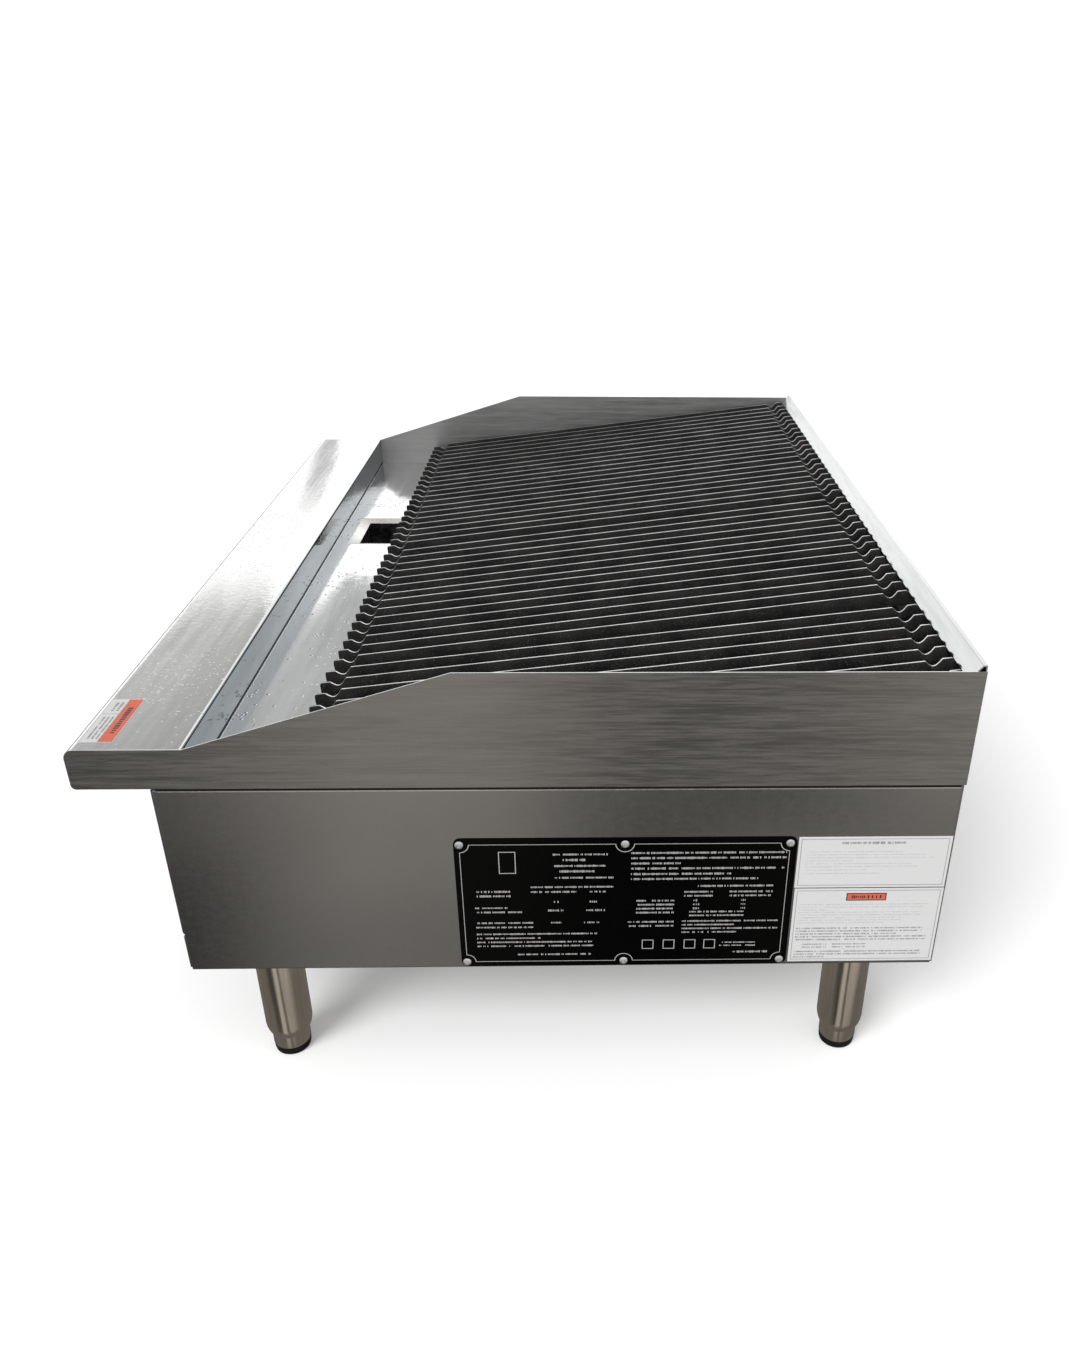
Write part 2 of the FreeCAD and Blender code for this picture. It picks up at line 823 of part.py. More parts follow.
def pilots_and_orifices():
    """Pilot tube beside each burner, fed from the valve, and the brass orifice in each venturi."""
    pilots = []
    orifices = []
    for number in BURNERS:
        x = burner_x(number)
        pilots.append(
            joined(
                f"pilot_{number}",
                [
                    rod(f"pilot_tube_{number}", f"{x} + 27", back(92), "knobheight + 8", "3", "122"),
                    rod(f"pilot_head_{number}", f"{x} + 27", back(215), "knobheight + 3", "5", "18", "Z"),
                    box(f"pilot_elbow_{number}", f"{x} + 14", back(88), "knobheight + 4", "17", "8", "8"),
                ],
            )
        )
        hood = joined(
            f"orifice_outside_{number}",
            [
                rod(f"orifice_hex_{number}", x, back(100), "knobheight", "7", "7"),
                rod(f"orifice_nose_{number}", x, back(106), "knobheight", "5", "14"),
            ],
        )
        jet = rod(f"orifice_jet_{number}", x, back(99), "knobheight", "1.3", "23")
        orifices.append(cut(f"orifice_{number}", hood, jet))
    group("pilot_burners", pilots)
    group("burner_orifices", orifices)


# ---- drip tray, legs and feet ---------------------------------------------------------------


def drip_tray():
    """Shallow pan across the machine, with its front plate and pull lip."""
    wall = "1.2"
    pan = box(
        "tray_pan", "-trayhalf", "front + panelset + sheet", "traybottom",
        "2 * trayhalf", "trayback - panelset - sheet", "traytop - traybottom",
    )
    face = box(
        "tray_face", "-panelwidth / 2", "front + panelset", "bodybottom + 2", "panelwidth", "sheet", "34"
    )
    lip = box("tray_lip", "-90", "front + panelset - 20", "traytop - 12", "180", "21", "1.8")
    edge = box("tray_lip_edge", "-90", "front + panelset - 20", "traytop - 22", "180", "1.8", "11")
    inside = box(
        "tray_inside", f"-trayhalf + {wall}", f"front + panelset + sheet + {wall}", f"traybottom + {wall}",
        f"2 * trayhalf - 2 * {wall}", f"trayback - panelset - sheet - 2 * {wall}", "60",
    )
    keep(cut("drip_tray", joined("tray_outside", [pan, face, lip, edge]), inside), "drip_tray")


def leg(number, side, place):
    """Tube leg with a rounded shoulder, bored for the levelling foot, with a fixing stud."""
    body = new_body(f"leg_{number}")
    section = [
        ("16.95", "22"),
        ("17.8", "22"),
        ("19.1", "24.5"),
        ("20.2", "28.5"),
        ("20.6", "33"),
        ("20.6", "bodybottom - 0.2"),
        ("14", "bodybottom - 0.2"),
        ("14", "bodybottom + sheet"),
        ("5", "bodybottom + sheet"),
        ("5", "bodybottom + 8"),
        ("0", "bodybottom + 8"),
        ("0", "86"),
        ("16.95", "86"),
    ]
    revolved(body, section, "Z")
    bind(body, x=f"{side}legx", y=f"front + {place}")


def levelling_foot(number, side, place):
    """Adjusting foot that slides out of the leg as it is screwed down, with its base pad."""
    body = new_body(f"levelling_foot_{number}")
    section = [
        ("0", "0"),
        ("15", "0"),
        ("16", "1"),
        ("16", "5.5"),
        ("16.6", "5.5"),
        ("16.6", "70"),
        ("0", "70"),
    ]
    revolved(body, section, "Z")
    bind(body, x=f"{side}legx", y=f"front + {place}")


# ---- grates ---------------------------------------------------------------------------------


def grate(number, centre):
    """Cast section: seven bars with drip notches near both ends, tied by cross ribs."""
    body = new_body(f"grate_{number}")
    side_view = [
        ("0", "-2.4"),
        ("10.8", "-2.4"),
        ("14", "-6.8"),
        ("18.6", "-6.8"),
        ("22.8", "0"),
        ("gratelength - 22.3", "0"),
        ("gratelength - 17.8", "-4.6"),
        ("gratelength - 12.8", "-4.6"),
        ("gratelength - 8.8", "0.6"),
        ("gratelength", "0.6"),
        ("gratelength", "-12"),
        ("gratelength - 11", "-12"),
        ("gratelength - 14", "-bardepth"),
        ("16", "-bardepth"),
        ("13", "-12"),
        ("0", "-12"),
    ]
    bar = pad(body, outline(sketch_on(body, "YZ_Plane"), side_view), "barwidth")
    repeat(body, bar, "X", "6 * barpitch", 7)
    ribs = sketch_on(body, "YZ_Plane")
    for place in (60, 193, 326, 459):
        rectangle(ribs, str(place), "-bardepth", str(place + 8), "-bardepth + 7")
    pad(body, ribs, "6 * barpitch + barwidth")
    slope = mm("grateslope")
    body.Placement = Placement(Vector(), Rotation(Vector(1, 0, 0), slope))
    bind(body, x=f"{centre} - 3 * barpitch - barwidth / 2", y="front + gratefront", z="deck + gratelift")


# ---- plate, rivets and labels ---------------------------------------------------------------


def rating_plate():
    """Thin plate with rounded corners, held by six rivets."""
    body = new_body("rating_plate")
    face = rectangle(
        sketch_on(body, "YZ_Plane"), "front + plateleft", "platebottom", "front + plateright", "platetop"
    )
    base = pad(body, face, "0.7")
    round_corners(body, base, face, [("6", [0, 1, 2, 3])])
    bind(body, x="width / 2 - bodyinset")
    holes = sketch_on(body, "YZ_Plane")
    for y, z in RIVET_PLACES:
        circle(holes, back(y), str(z), "1.8")
    cut_through(body, holes)


def plate_rivets():
    """Round-headed rivets: domed head on the plate, shank in its hole."""
    rivets = []
    for index, (y, z) in enumerate(RIVET_PLACES):
        dome = doc.addObject("Part::Ellipsoid", f"rivet_dome_{index}")
        dome.Radius1 = 1.8
        dome.Radius2 = 3.8
        dome.Angle1 = 0
        dome.Placement = Placement(Vector(), Rotation(Vector(0, 1, 0), 90))
        bind(dome, x="width / 2 - bodyinset + 0.7", y=back(y), z=str(z))
        shank = rod(f"rivet_shank_{index}", "width / 2 - bodyinset", back(y), str(z), "1.6", "1.2", "X")
        rivets.append(joined(f"rivet_{index}", [dome, shank]))
    group("plate_rivets", rivets)


def information_labels():
    """Blank printed labels: two on the right side, one on the ledge."""
    side = "width / 2 - bodyinset"
    labels = [
        box("label_upper", side, back(572.5), "deck - 102", "0.3", "126.5", "51.5"),
        box("label_lower", side, back(573.2), "deck - 182", "0.3", "126", "79"),
        box("label_ledge", "374", back(8.2), "deck + ledgeheight", "71", "26", "0.3"),
    ]
    group("information_labels", labels)


# ---- assembly -------------------------------------------------------------------------------

LEGS = [("", "legfront"), ("-", "legfront"), ("", "legback"), ("-", "legback")]

side_splash("side_splash_right", 1)
side_splash("side_splash_left", -1)
front_ledge()
grease_trough()
grease_chute()
rear_splash()
body_side("body_side_right", 1)
body_side("body_side_left", -1)
control_panel()
back_panel()
bottom_pan()
firebox_liner()
grate_rails()
burner_rails()
manifold()
inlet_pipe()
for number in BURNERS:
    burner(number)
    radiant(number)
    gas_valve(number)
    valve_stem(number)
    spring_cup(number)
    knob(number)
knob_bezels()
igniters()
pilots_and_orifices()
drip_tray()
for number, (side, place) in enumerate(LEGS, start=1):
    leg(number, side, place)
    levelling_foot(number, side, place)
for number, centre in enumerate(GRATE_CENTRES, start=1):
    grate(number, centre)
rating_plate()
plate_rivets()
information_labels()
doc.recompute()

for item in doc.Objects:
    if "Invalid" in item.State or "Error" in item.State:
        raise RuntimeError(f"{item.Label} failed: {item.State}")
for node in nodes:
    if node.Shape.isNull() or not node.Shape.isValid():
        raise RuntimeError(f"{node.Label} has no valid shape")

os.makedirs("parts", exist_ok=True)
for node in nodes:
    node.Shape.exportStep(f"parts/{node.Label}.step")
print(len(nodes), "nodes")
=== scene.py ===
import json
import math

import bmesh
import bpy
from mathutils import Matrix, Vector


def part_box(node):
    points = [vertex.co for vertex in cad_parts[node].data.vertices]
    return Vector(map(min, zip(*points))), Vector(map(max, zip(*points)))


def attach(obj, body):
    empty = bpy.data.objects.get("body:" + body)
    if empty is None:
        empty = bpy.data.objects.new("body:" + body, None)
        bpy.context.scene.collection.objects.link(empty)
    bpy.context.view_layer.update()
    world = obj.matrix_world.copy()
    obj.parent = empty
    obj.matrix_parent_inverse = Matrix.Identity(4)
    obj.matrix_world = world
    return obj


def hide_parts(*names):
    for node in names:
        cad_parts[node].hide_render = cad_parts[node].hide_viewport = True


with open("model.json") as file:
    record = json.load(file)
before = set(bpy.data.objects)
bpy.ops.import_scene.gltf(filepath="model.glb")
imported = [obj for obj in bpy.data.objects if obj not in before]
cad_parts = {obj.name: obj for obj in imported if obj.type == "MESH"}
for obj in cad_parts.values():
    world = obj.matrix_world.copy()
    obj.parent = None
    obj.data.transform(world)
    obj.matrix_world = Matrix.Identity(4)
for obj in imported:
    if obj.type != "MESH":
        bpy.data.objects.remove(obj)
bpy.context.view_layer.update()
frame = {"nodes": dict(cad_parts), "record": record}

# Looks of a countertop gas charbroiler. Metres, +Z up, the operator stands at -Y.

MM = 0.001
BURNERS = (1, 2, 3)
GRATES = (1, 2, 3, 4, 5, 6)
LEGS = (1, 2, 3, 4)
CHASSIS = "frame"
SHEET_EDGE = 0.35 * MM  # rounding of a sheet's edges
BODY_EDGE = 1.3 * MM    # rounding of the body's bends
PAD_HEIGHT = 7.8        # of a levelling foot's rubber pad, in mm

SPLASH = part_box("side_splash_right")
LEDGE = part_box("front_ledge")
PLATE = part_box("rating_plate")
FRONT = LEDGE[0].y
DECK = SPLASH[0].z
SIDE = PLATE[0].x


# ---- node helpers ----


class Nodes:
    """Adds nodes to one tree, left to right, and joins them."""

    def __init__(self, tree):
        self.tree = tree
        self.count = 0

    def add(self, kind, inputs=None, **settings):
        node = self.tree.nodes.new(kind)
        node.location = (180 * (self.count % 12), -260 * (self.count // 12))
        self.count += 1
        for name, value in settings.items():
            setattr(node, name, value)
        for name, value in (inputs or {}).items():
            self.feed(node.inputs[name], value)
        return node

    def feed(self, socket, value):
        if isinstance(value, bpy.types.NodeSocket):
            self.tree.links.new(value, socket)
        else:
            socket.default_value = value

    def math(self, operation, a, b=0.0, clamp=False):
        node = self.add("ShaderNodeMath", {0: a, 1: b}, operation=operation, use_clamp=clamp)
        return node.outputs[0]

    def mix(self, share, a, b):
        """Mix of two colours."""
        node = self.add("ShaderNodeMix", data_type="RGBA")
        self.feed(node.inputs[0], share)
        self.feed(node.inputs[6], a)
        self.feed(node.inputs[7], b)
        return node.outputs[2]

    def spread(self, value, low, high, to_low=0.0, to_high=1.0):
        """Smooth rise of a value from one range into another."""
        inputs = {"Value": value, "From Min": low, "From Max": high, "To Min": to_low, "To Max": to_high}
        node = self.add("ShaderNodeMapRange", inputs, interpolation_type="SMOOTHSTEP")
        return node.outputs["Result"]

    def steps(self, value, start, *changes):
        """Level that changes smoothly by an amount over each range: (low, high, amount)."""
        level = start
        for low, high, amount in changes:
            level = self.math("ADD", level, self.spread(value, low, high, 0.0, amount))
        return level

    def noise(self, place, scale, detail=2.0, rough=0.5):
        inputs = {"Vector": place, "Scale": scale, "Detail": detail, "Roughness": rough}
        return self.add("ShaderNodeTexNoise", inputs).outputs["Fac"]

    def shape(self, held):
        """Geometry of an object that a tree is given."""
        return self.add("GeometryNodeObjectInfo", {"Object": held}).outputs["Geometry"]

    def vector(self, **parts):
        return self.add("ShaderNodeCombineXYZ", parts).outputs[0]

    def stretched(self, place, by):
        node = self.add("ShaderNodeVectorMath", {0: place, 1: by}, operation="MULTIPLY")
        return node.outputs[0]


def colour(red, green, blue):
    return (red, green, blue, 1.0)


def grey(value, warm=0.0):
    """Grey with a little more red and less blue as warm rises."""
    return (value * (1 + warm), value, value * (1 - warm), 1.0)


def group(name, tree_kind, inputs, outputs, output_kind):
    """Empty node group with named sockets; returns its nodes, its inputs and its outputs."""
    tree = bpy.data.node_groups.new(name, tree_kind)
    for label in outputs:
        tree.interface.new_socket(label, in_out="OUTPUT", socket_type="NodeSocket" + output_kind)
    for label, (kind, value) in inputs.items():
        socket = tree.interface.new_socket(label, in_out="INPUT", socket_type="NodeSocket" + kind)
        if value is not None:
            socket.default_value = value
    nodes = Nodes(tree)
    entry = nodes.add("NodeGroupInput")
    leave = nodes.add("NodeGroupOutput")
    return nodes, entry.outputs, leave.inputs


def effect_group(name, inputs, outputs):
    """Empty shader group that takes a place and gives plain values."""
    return group(name, "ShaderNodeTree", {"Place": ("Vector", None), **inputs}, outputs, "Float")


def make_grain():
    """Brushed lines: long along one direction, fine across it, with a slow drift of tone."""
    nodes, given, leave = effect_group(
        "brushed_grain",
        {"Stretch": ("Vector", (400, 8, 400)), "Drift": ("Float", 3.0)},
        ("Tone", "Height", "Cloud"),
    )
    along = nodes.stretched(given["Place"], given["Stretch"])
    fine = nodes.noise(along, 1.0, 3.0, 0.62)
    broad = nodes.noise(along, 0.22, 2.0, 0.55)
    cloud = nodes.noise(given["Place"], given["Drift"], 3.0, 0.55)
    tone = nodes.math("ADD", nodes.math("MULTIPLY", fine, 0.6), nodes.math("MULTIPLY", broad, 0.4))
    nodes.feed(leave["Tone"], nodes.spread(tone, 0.34, 0.66))
    nodes.feed(leave["Height"], fine)
    nodes.feed(leave["Cloud"], nodes.spread(cloud, 0.3, 0.7))
    return nodes.tree


def make_lumps():
    """Shallow lumps of thin sheet or film, with a few small pimples."""
    nodes, given, leave = effect_group(
        "film_lumps", {"Size": ("Float", 90.0), "Pimples": ("Float", 260.0)}, ("Height", "Spots")
    )
    waves = nodes.noise(given["Place"], given["Size"], 2.0, 0.5)
    cells = nodes.add("ShaderNodeTexVoronoi", {"Vector": given["Place"], "Scale": given["Pimples"]})
    chance = nodes.add("ShaderNodeSeparateColor", {"Color": cells.outputs["Color"]}).outputs[0]
    patch = nodes.noise(given["Place"], 11.0, 2.0, 0.6)
    limit = nodes.spread(patch, 0.45, 0.65, 0.97, 0.72)
    chosen = nodes.math("GREATER_THAN", chance, limit)
    drop = nodes.math("MULTIPLY", nodes.spread(cells.outputs["Distance"], 0.42, 0.1), chosen)
    nodes.feed(leave["Height"], waves)
    nodes.feed(leave["Spots"], drop)
    return nodes.tree


def make_cast_skin():
    """Sand-cast surface: close grains, shallow pits and a slow change of tone."""
    nodes, given, leave = effect_group(
        "cast_skin", {"Grains": ("Float", 900.0)}, ("Tone", "Height", "Specks")
    )
    grains = nodes.noise(given["Place"], given["Grains"], 3.0, 0.7)
    slow = nodes.noise(given["Place"], 28.0, 3.0, 0.6)
    pits = nodes.add(
        "ShaderNodeTexVoronoi",
        {"Vector": given["Place"], "Scale": nodes.math("MULTIPLY", given["Grains"], 0.55)},
    ).outputs["Distance"]
    height = nodes.math("ADD", grains, nodes.math("MULTIPLY", nodes.spread(pits, 0.0, 0.35), 0.4))
    nodes.feed(leave["Tone"], nodes.spread(slow, 0.32, 0.68))
    nodes.feed(leave["Height"], height)
    nodes.feed(leave["Specks"], nodes.spread(grains, 0.6, 0.72))
    return nodes.tree


def make_scuffs():
    """Fine crossing scratches and dust for moulded plastic, enamel and printed film."""
    nodes, given, leave = effect_group(
        "scuffs", {"Density": ("Float", 60.0)}, ("Scratch", "Dust", "Height")
    )
    lines = []
    for turn in ((1.0, 14.0, 3.0), (12.0, 1.0, 6.0)):
        run = nodes.stretched(given["Place"], turn)
        lines.append(nodes.spread(nodes.noise(run, given["Density"], 2.0, 0.6), 0.62, 0.7))
    dust = nodes.noise(given["Place"], 240.0, 3.0, 0.7)
    nodes.feed(leave["Scratch"], nodes.math("MAXIMUM", lines[0], lines[1]))
    nodes.feed(leave["Dust"], nodes.spread(dust, 0.5, 0.75))
    nodes.feed(leave["Height"], dust)
    return nodes.tree


GRAIN = make_grain()
LUMPS = make_lumps()
CAST = make_cast_skin()
SCUFFS = make_scuffs()


# ---- materials ----


class Finish:
    """One material: its nodes, its shader and its object coordinates."""

    def __init__(self, name, **uniform):
        self.material = bpy.data.materials.new(name)
        self.material.use_nodes = True
        self.material.node_tree.nodes.clear()
        self.nodes = Nodes(self.material.node_tree)
        self.shader = self.nodes.add("ShaderNodeBsdfPrincipled")
        surface = self.nodes.add("ShaderNodeOutputMaterial")
        self.nodes.feed(surface.inputs["Surface"], self.shader.outputs["BSDF"])
        self.place = self.nodes.add("ShaderNodeTexCoord").outputs["Object"]
        for socket, value in uniform.items():
            self.shader.inputs[socket.replace("_", " ")].default_value = value

    def effect(self, tree, **inputs):
        inputs["Place"] = self.place
        return self.nodes.add("ShaderNodeGroup", inputs, node_tree=tree).outputs

    def paint(self, base):
        self.nodes.feed(self.shader.inputs["Base Color"], base)

    def rough(self, value):
        self.nodes.feed(self.shader.inputs["Roughness"], value)

    def bump(self, *layers):
        """Bump layers, each (height, depth in metres), laid one on the other."""
        normal = None
        for height, depth in layers:
            inputs = {"Height": height, "Distance": depth, "Strength": 1.0}
            node = self.nodes.add("ShaderNodeBump", inputs)
            if normal is not None:
                self.nodes.feed(node.inputs["Normal"], normal)
            normal = node.outputs["Normal"]
        self.nodes.feed(self.shader.inputs["Normal"], normal)


def bare_steel(name, stretch, rough, drift):
    """Steel before it is tinted or bumped: its roughness follows the brushed lines."""
    finish = Finish(name, Metallic=1.0)
    grain = finish.effect(GRAIN, Stretch=stretch, Drift=drift)
    finish.rough(finish.nodes.spread(grain["Tone"], 0.0, 1.0, *rough))
    return finish, grain


def shaded(finish, grain, dark, light, cloud):
    """Tint between two greys: brushed lines, with a share of slow cloud."""
    nodes = finish.nodes
    share = nodes.math("MULTIPLY", grain["Tone"], 1.0 - cloud)
    share = nodes.math("ADD", share, nodes.math("MULTIPLY", grain["Cloud"], cloud))
    finish.paint(nodes.mix(share, dark, light))


def brushed(name, dark, light, stretch, rough, drift=3.0, depth=0.00002, cloud=0.5):
    """Brushed or mill-finished steel."""
    finish, grain = bare_steel(name, stretch, rough, drift)
    shaded(finish, grain, dark, light, cloud)
    finish.bump((grain["Height"], depth))
    return finish


def film_steel(name, dark, light, stretch, rough, lumps, lump_depth, spot_depth):
    """Bright sheet with the shallow lumps and drops of a film still on it."""
    finish, grain = bare_steel(name, stretch, rough, 5.0)
    shaded(finish, grain, dark, light, 0.35)
    film = finish.effect(LUMPS, Size=lumps[0], Pimples=lumps[1])
    finish.bump((grain["Height"], 0.000012), (film["Height"], lump_depth), (film["Spots"], spot_depth))
    return finish


def heat_tinted(name, dark, light, cold, stretch, rough):
    """Steel that has run hot: straw and blue in slow patches under the grey of its lines."""
    finish, grain = bare_steel(name, stretch, rough, 7.0)
    nodes = finish.nodes
    warm = nodes.mix(grain["Cloud"], dark, light)
    finish.paint(nodes.mix(nodes.math("MULTIPLY", grain["Tone"], 0.6), warm, cold))
    finish.bump((grain["Height"], 0.00002))
    return finish


def cast_iron(name, dark, light, speck, rough, metallic, depth):
    finish = Finish(name, Metallic=metallic)
    skin = finish.effect(CAST)
    nodes = finish.nodes
    base = nodes.mix(skin["Tone"], dark, light)
    finish.paint(nodes.mix(nodes.math("MULTIPLY", skin["Specks"], 0.6), base, speck))
    finish.rough(nodes.spread(skin["Height"], 0.3, 1.1, rough[0], rough[1]))
    finish.bump((skin["Height"], depth))
    return finish


def moulded(name, base, dusty, rough, metallic=0.0, coat=0.0, depth=0.00001, density=60.0, specular=0.5):
    """Plastic, enamel or printed film with fine scuffs and a little dust."""
    finish = Finish(name, Metallic=metallic, Coat_Weight=coat, Specular_IOR_Level=specular)
    marks = finish.effect(SCUFFS, Density=density)
    nodes = finish.nodes
    finish.paint(nodes.mix(nodes.math("MULTIPLY", marks["Dust"], 0.35), base, dusty))
    worn = nodes.math("MULTIPLY", marks["Scratch"], rough[1] - rough[0])
    finish.rough(nodes.math("ADD", worn, rough[0]))
    finish.bump((marks["Height"], depth))
    return finish


ALONG_Y = (620, 26, 620)
EVEN = (200, 200, 200)
FINISHES = {}
for kind, rows in {
    # dark, light, stretch of the lines, roughness, then drift, depth and cloud
    brushed: {
        # The real machine is one steel; the right splash's grey here is set far darker than the ledge's,
        # as painted shade.
        "side_steel": (grey(0.24, 0.03), grey(0.42, 0.02), ALONG_Y, (0.2, 0.3), 3.0, 0.00002, 0.3),
        # Light steel for the sheets' upper edges and the trough's bend: painted highlight.
        "cut_edge": (grey(0.75), grey(0.9), ALONG_Y, (0.2, 0.34)),
        # Lighter steel for the grease hole's rim and the body's bends: painted highlight.
        "rim_steel": (grey(0.62, 0.04), grey(0.8, 0.05), EVEN, (0.2, 0.34)),
        "dark_steel": (grey(0.34), grey(0.5), EVEN, (0.2, 0.34)),
        "inner_side_steel": (grey(0.6, 0.01), grey(0.8, 0.01), ALONG_Y, (0.42, 0.55)),
        # The body's grey is likewise set dark as painted shade.
        "body_steel": (
            grey(0.25, 0.02), grey(0.31, 0.02), (900, 500, 900), (0.16, 0.2), 4.0, 0.000015, 0.6
        ),
        "plain_steel": (grey(0.34, 0.02), grey(0.52, 0.01), (150, 150, 150), (0.32, 0.5), 14.0),
        "leg_steel": (grey(0.62, 0.14), grey(0.8, 0.12), (900, 900, 30), (0.1, 0.18), 8.0),
        "stem_steel": (grey(0.5), grey(0.66), (600, 20, 600), (0.16, 0.3)),
        "chrome": (grey(0.7), grey(0.82), (90, 90, 90), (0.05, 0.12), 12.0, 0.000004),
        "rivet_metal": (grey(0.8), grey(0.95), (400, 400, 400), (0.3, 0.42), 60.0),
        "brass": (
            colour(0.5, 0.33, 0.12), colour(0.78, 0.58, 0.27), (500, 40, 500), (0.2, 0.36), 20.0
        ),
    },
    # dark, light, stretch, roughness, (lumps, pimples) per metre, depth of lumps, depth of drops
    film_steel: {
        # Dark, cool copy of the ledge's steel for its drop face: painted shade.
        "drop_steel": (
            colour(0.1, 0.117, 0.13), colour(0.17, 0.193, 0.21), (6, 60, 60), (0.1, 0.18),
            (40, 160), 0.00005, 0.0001,
        ),
        "ledge_steel": (
            grey(0.56, 0.02), grey(0.68, 0.01), (8, 120, 120), (0.06, 0.13), (170, 420), 0.00006, 0.0003
        ),
        "trough_steel": (
            grey(0.66, 0.005), grey(0.84), (10, 90, 90), (0.06, 0.14), (60, 260), 0.00014, 0.0005
        ),
        "deflector_steel": (
            grey(0.47), grey(0.6), (12, 160, 160), (0.1, 0.2), (90, 300), 0.00008, 0.0001
        ),
    },
    # straw, blue, grey of the lines, stretch, roughness
    heat_tinted: {
        "hot_steel": (
            colour(0.34, 0.25, 0.16), colour(0.16, 0.17, 0.22), grey(0.4, 0.06),
            (300, 20, 300), (0.35, 0.55),
        ),
    },
    # dark, light, specks, roughness, metallic, depth
    cast_iron: {
        # Near-black cast iron for the grates; on the grate rails and the trough's upstand it also serves
        # as painted shade.
        "iron": (grey(0.003), grey(0.015, 0.05), colour(0.26, 0.24, 0.21), (0.4, 0.68), 0.2, 0.0006),
        # Light, strongly metallic iron for the bars' flat tops: painted highlight along each ridge.
        "iron_ridge": (grey(0.62), grey(0.85), grey(0.95), (0.3, 0.45), 0.9, 0.0001),
    },
    # base, dusty, roughness, then metallic, coat, depth, density of the scuffs and specular
    moulded: {
        "black_pipe": (grey(0.02), grey(0.05, 0.1), (0.4, 0.6), 0.3, 0.2, 0.00004, 90.0),
        "plate_enamel": (grey(0.0006), grey(0.002), (0.12, 0.22), 0.0, 0.0, 0.00001, 60.0, 0.06),
        "print_silver": (grey(0.3, 0.02), grey(0.24), (0.35, 0.5)),
        "label_film": (grey(0.5), grey(0.46, 0.02), (0.35, 0.5)),
        "print_grey": (grey(0.2), grey(0.26), (0.5, 0.6)),
        "print_pale": (grey(0.4), grey(0.46), (0.5, 0.6)),
        "print_orange": (colour(0.5, 0.085, 0.045), colour(0.46, 0.11, 0.07), (0.4, 0.5)),
        "print_black": (grey(0.02), grey(0.05), (0.4, 0.5)),
        "knob_plastic": (grey(0.012), grey(0.03), (0.18, 0.34), 0.0, 0.3),
        "button_plastic": (colour(0.3, 0.012, 0.01), colour(0.3, 0.03, 0.02), (0.2, 0.35)),
        "barrel_plastic": (grey(0.02), grey(0.04), (0.4, 0.55), 0.0, 0.0, 0.00003),
        # Black rubber for the feet's pads; the same finish also makes the painted shadow strips.
        "pad_rubber": (grey(0.004), grey(0.01), (0.4, 0.6), 0.0, 0.0, 0.00004, 60.0, 0.3),
        "dial_white": (grey(0.75), grey(0.6), (0.35, 0.5)),
    },
}.items():
    for name, values in rows.items():
        FINISHES[name] = kind(name, *values)


def coat_of(name):
    return FINISHES[name].material


# ---- mesh helpers ----


def placed(name, data):
    made = bpy.data.objects.new(name, data)
    bpy.context.scene.collection.objects.link(made)
    return made


def shown(name, mesh, body, replaces=()):
    """Put a coated mesh in the scene, riding on a body, in place of CAD nodes."""
    made = placed(name, mesh)
    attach(made, body)
    if replaces:
        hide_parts(*replaces)


def piece(name, mesh, body, finishes, replaces=()):
    """Give a mesh its finishes and show it."""
    chosen = [face.material_index for face in mesh.polygons]
    mesh.materials.clear()
    for finish in finishes:
        mesh.materials.append(coat_of(finish))
    for face, index in zip(mesh.polygons, chosen):
        face.material_index = min(index, len(finishes) - 1)
    shown(name, mesh, body, replaces)


def drawn(build, name):
    """Mesh from a function that fills a bmesh."""
    form = bmesh.new()
    build(form)
    bmesh.ops.remove_doubles(form, verts=form.verts, dist=1e-7)
    bmesh.ops.recalc_face_normals(form, faces=form.faces)
    mesh = bpy.data.meshes.new(name)
    form.to_mesh(mesh)
    form.free()
    return mesh


def taken(holder):
    """Plain mesh that an object's modifiers give; the object is removed."""
    name = holder.name
    graph = bpy.context.evaluated_depsgraph_get()
    mesh = bpy.data.meshes.new_from_object(holder.evaluated_get(graph))
    bpy.data.objects.remove(holder)
    mesh.name = name
    return mesh


def baked(mesh, name, *modifiers):
    """Mesh with modifiers worked in; each is (kind, settings)."""
    holder = placed(name, mesh)
    for kind, settings in modifiers:
        modifier = holder.modifiers.new(kind.lower(), kind)
        for key, value in settings.items():
            setattr(modifier, key, value)
    return taken(holder)


def eased(width, segments=2, angle=38.0):
    """Settings of a bevel on every edge sharper than the angle."""
    settings = {
        "width": width,
        "segments": segments,
        "limit_method": "ANGLE",
        "angle_limit": math.radians(angle),
        "harden_normals": True,
        "use_clamp_overlap": True,
    }
    return ("BEVEL", settings)


def smooth(mesh, angle=38.0):
    for face in mesh.polygons:
        face.use_smooth = True
    mesh.set_sharp_from_angle(angle=math.radians(angle))
    return mesh


def merged_copy(node, flat_angle=0.4):
    """Copy of a CAD node's mesh with its triangles joined and its flat faces made whole."""
    form = bmesh.new()
    form.from_mesh(frame["nodes"][node].data)
    bmesh.ops.remove_doubles(form, verts=form.verts, dist=1e-6)
    bmesh.ops.dissolve_limit(
        form,
        angle_limit=math.radians(flat_angle),
        use_dissolve_boundaries=False,
        verts=form.verts,
        edges=form.edges,
    )
    mesh = bpy.data.meshes.new(node + "_form")
    form.to_mesh(mesh)
    form.free()
    return smooth(mesh)


def body_of(node):
    for name, members in frame["record"]["behaviour"]["bodies"].items():
        if node in members:
            return name


def refined(node, finish, accent=None, where=None, edge=SHEET_EDGE, segments=2):
    """The same shape as a CAD node with its sharp edges eased.

    Faces for which where(normal, centre) holds take the accent finish instead.
    """
    mesh = baked(merged_copy(node), node + "_skin", eased(edge, segments))
    finishes = [finish]
    if accent:
        finishes.append(accent)
        for face in mesh.polygons:
            face.material_index = int(where(face.normal, face.center))
    piece(node + "_skin", mesh, body_of(node), finishes, [node])


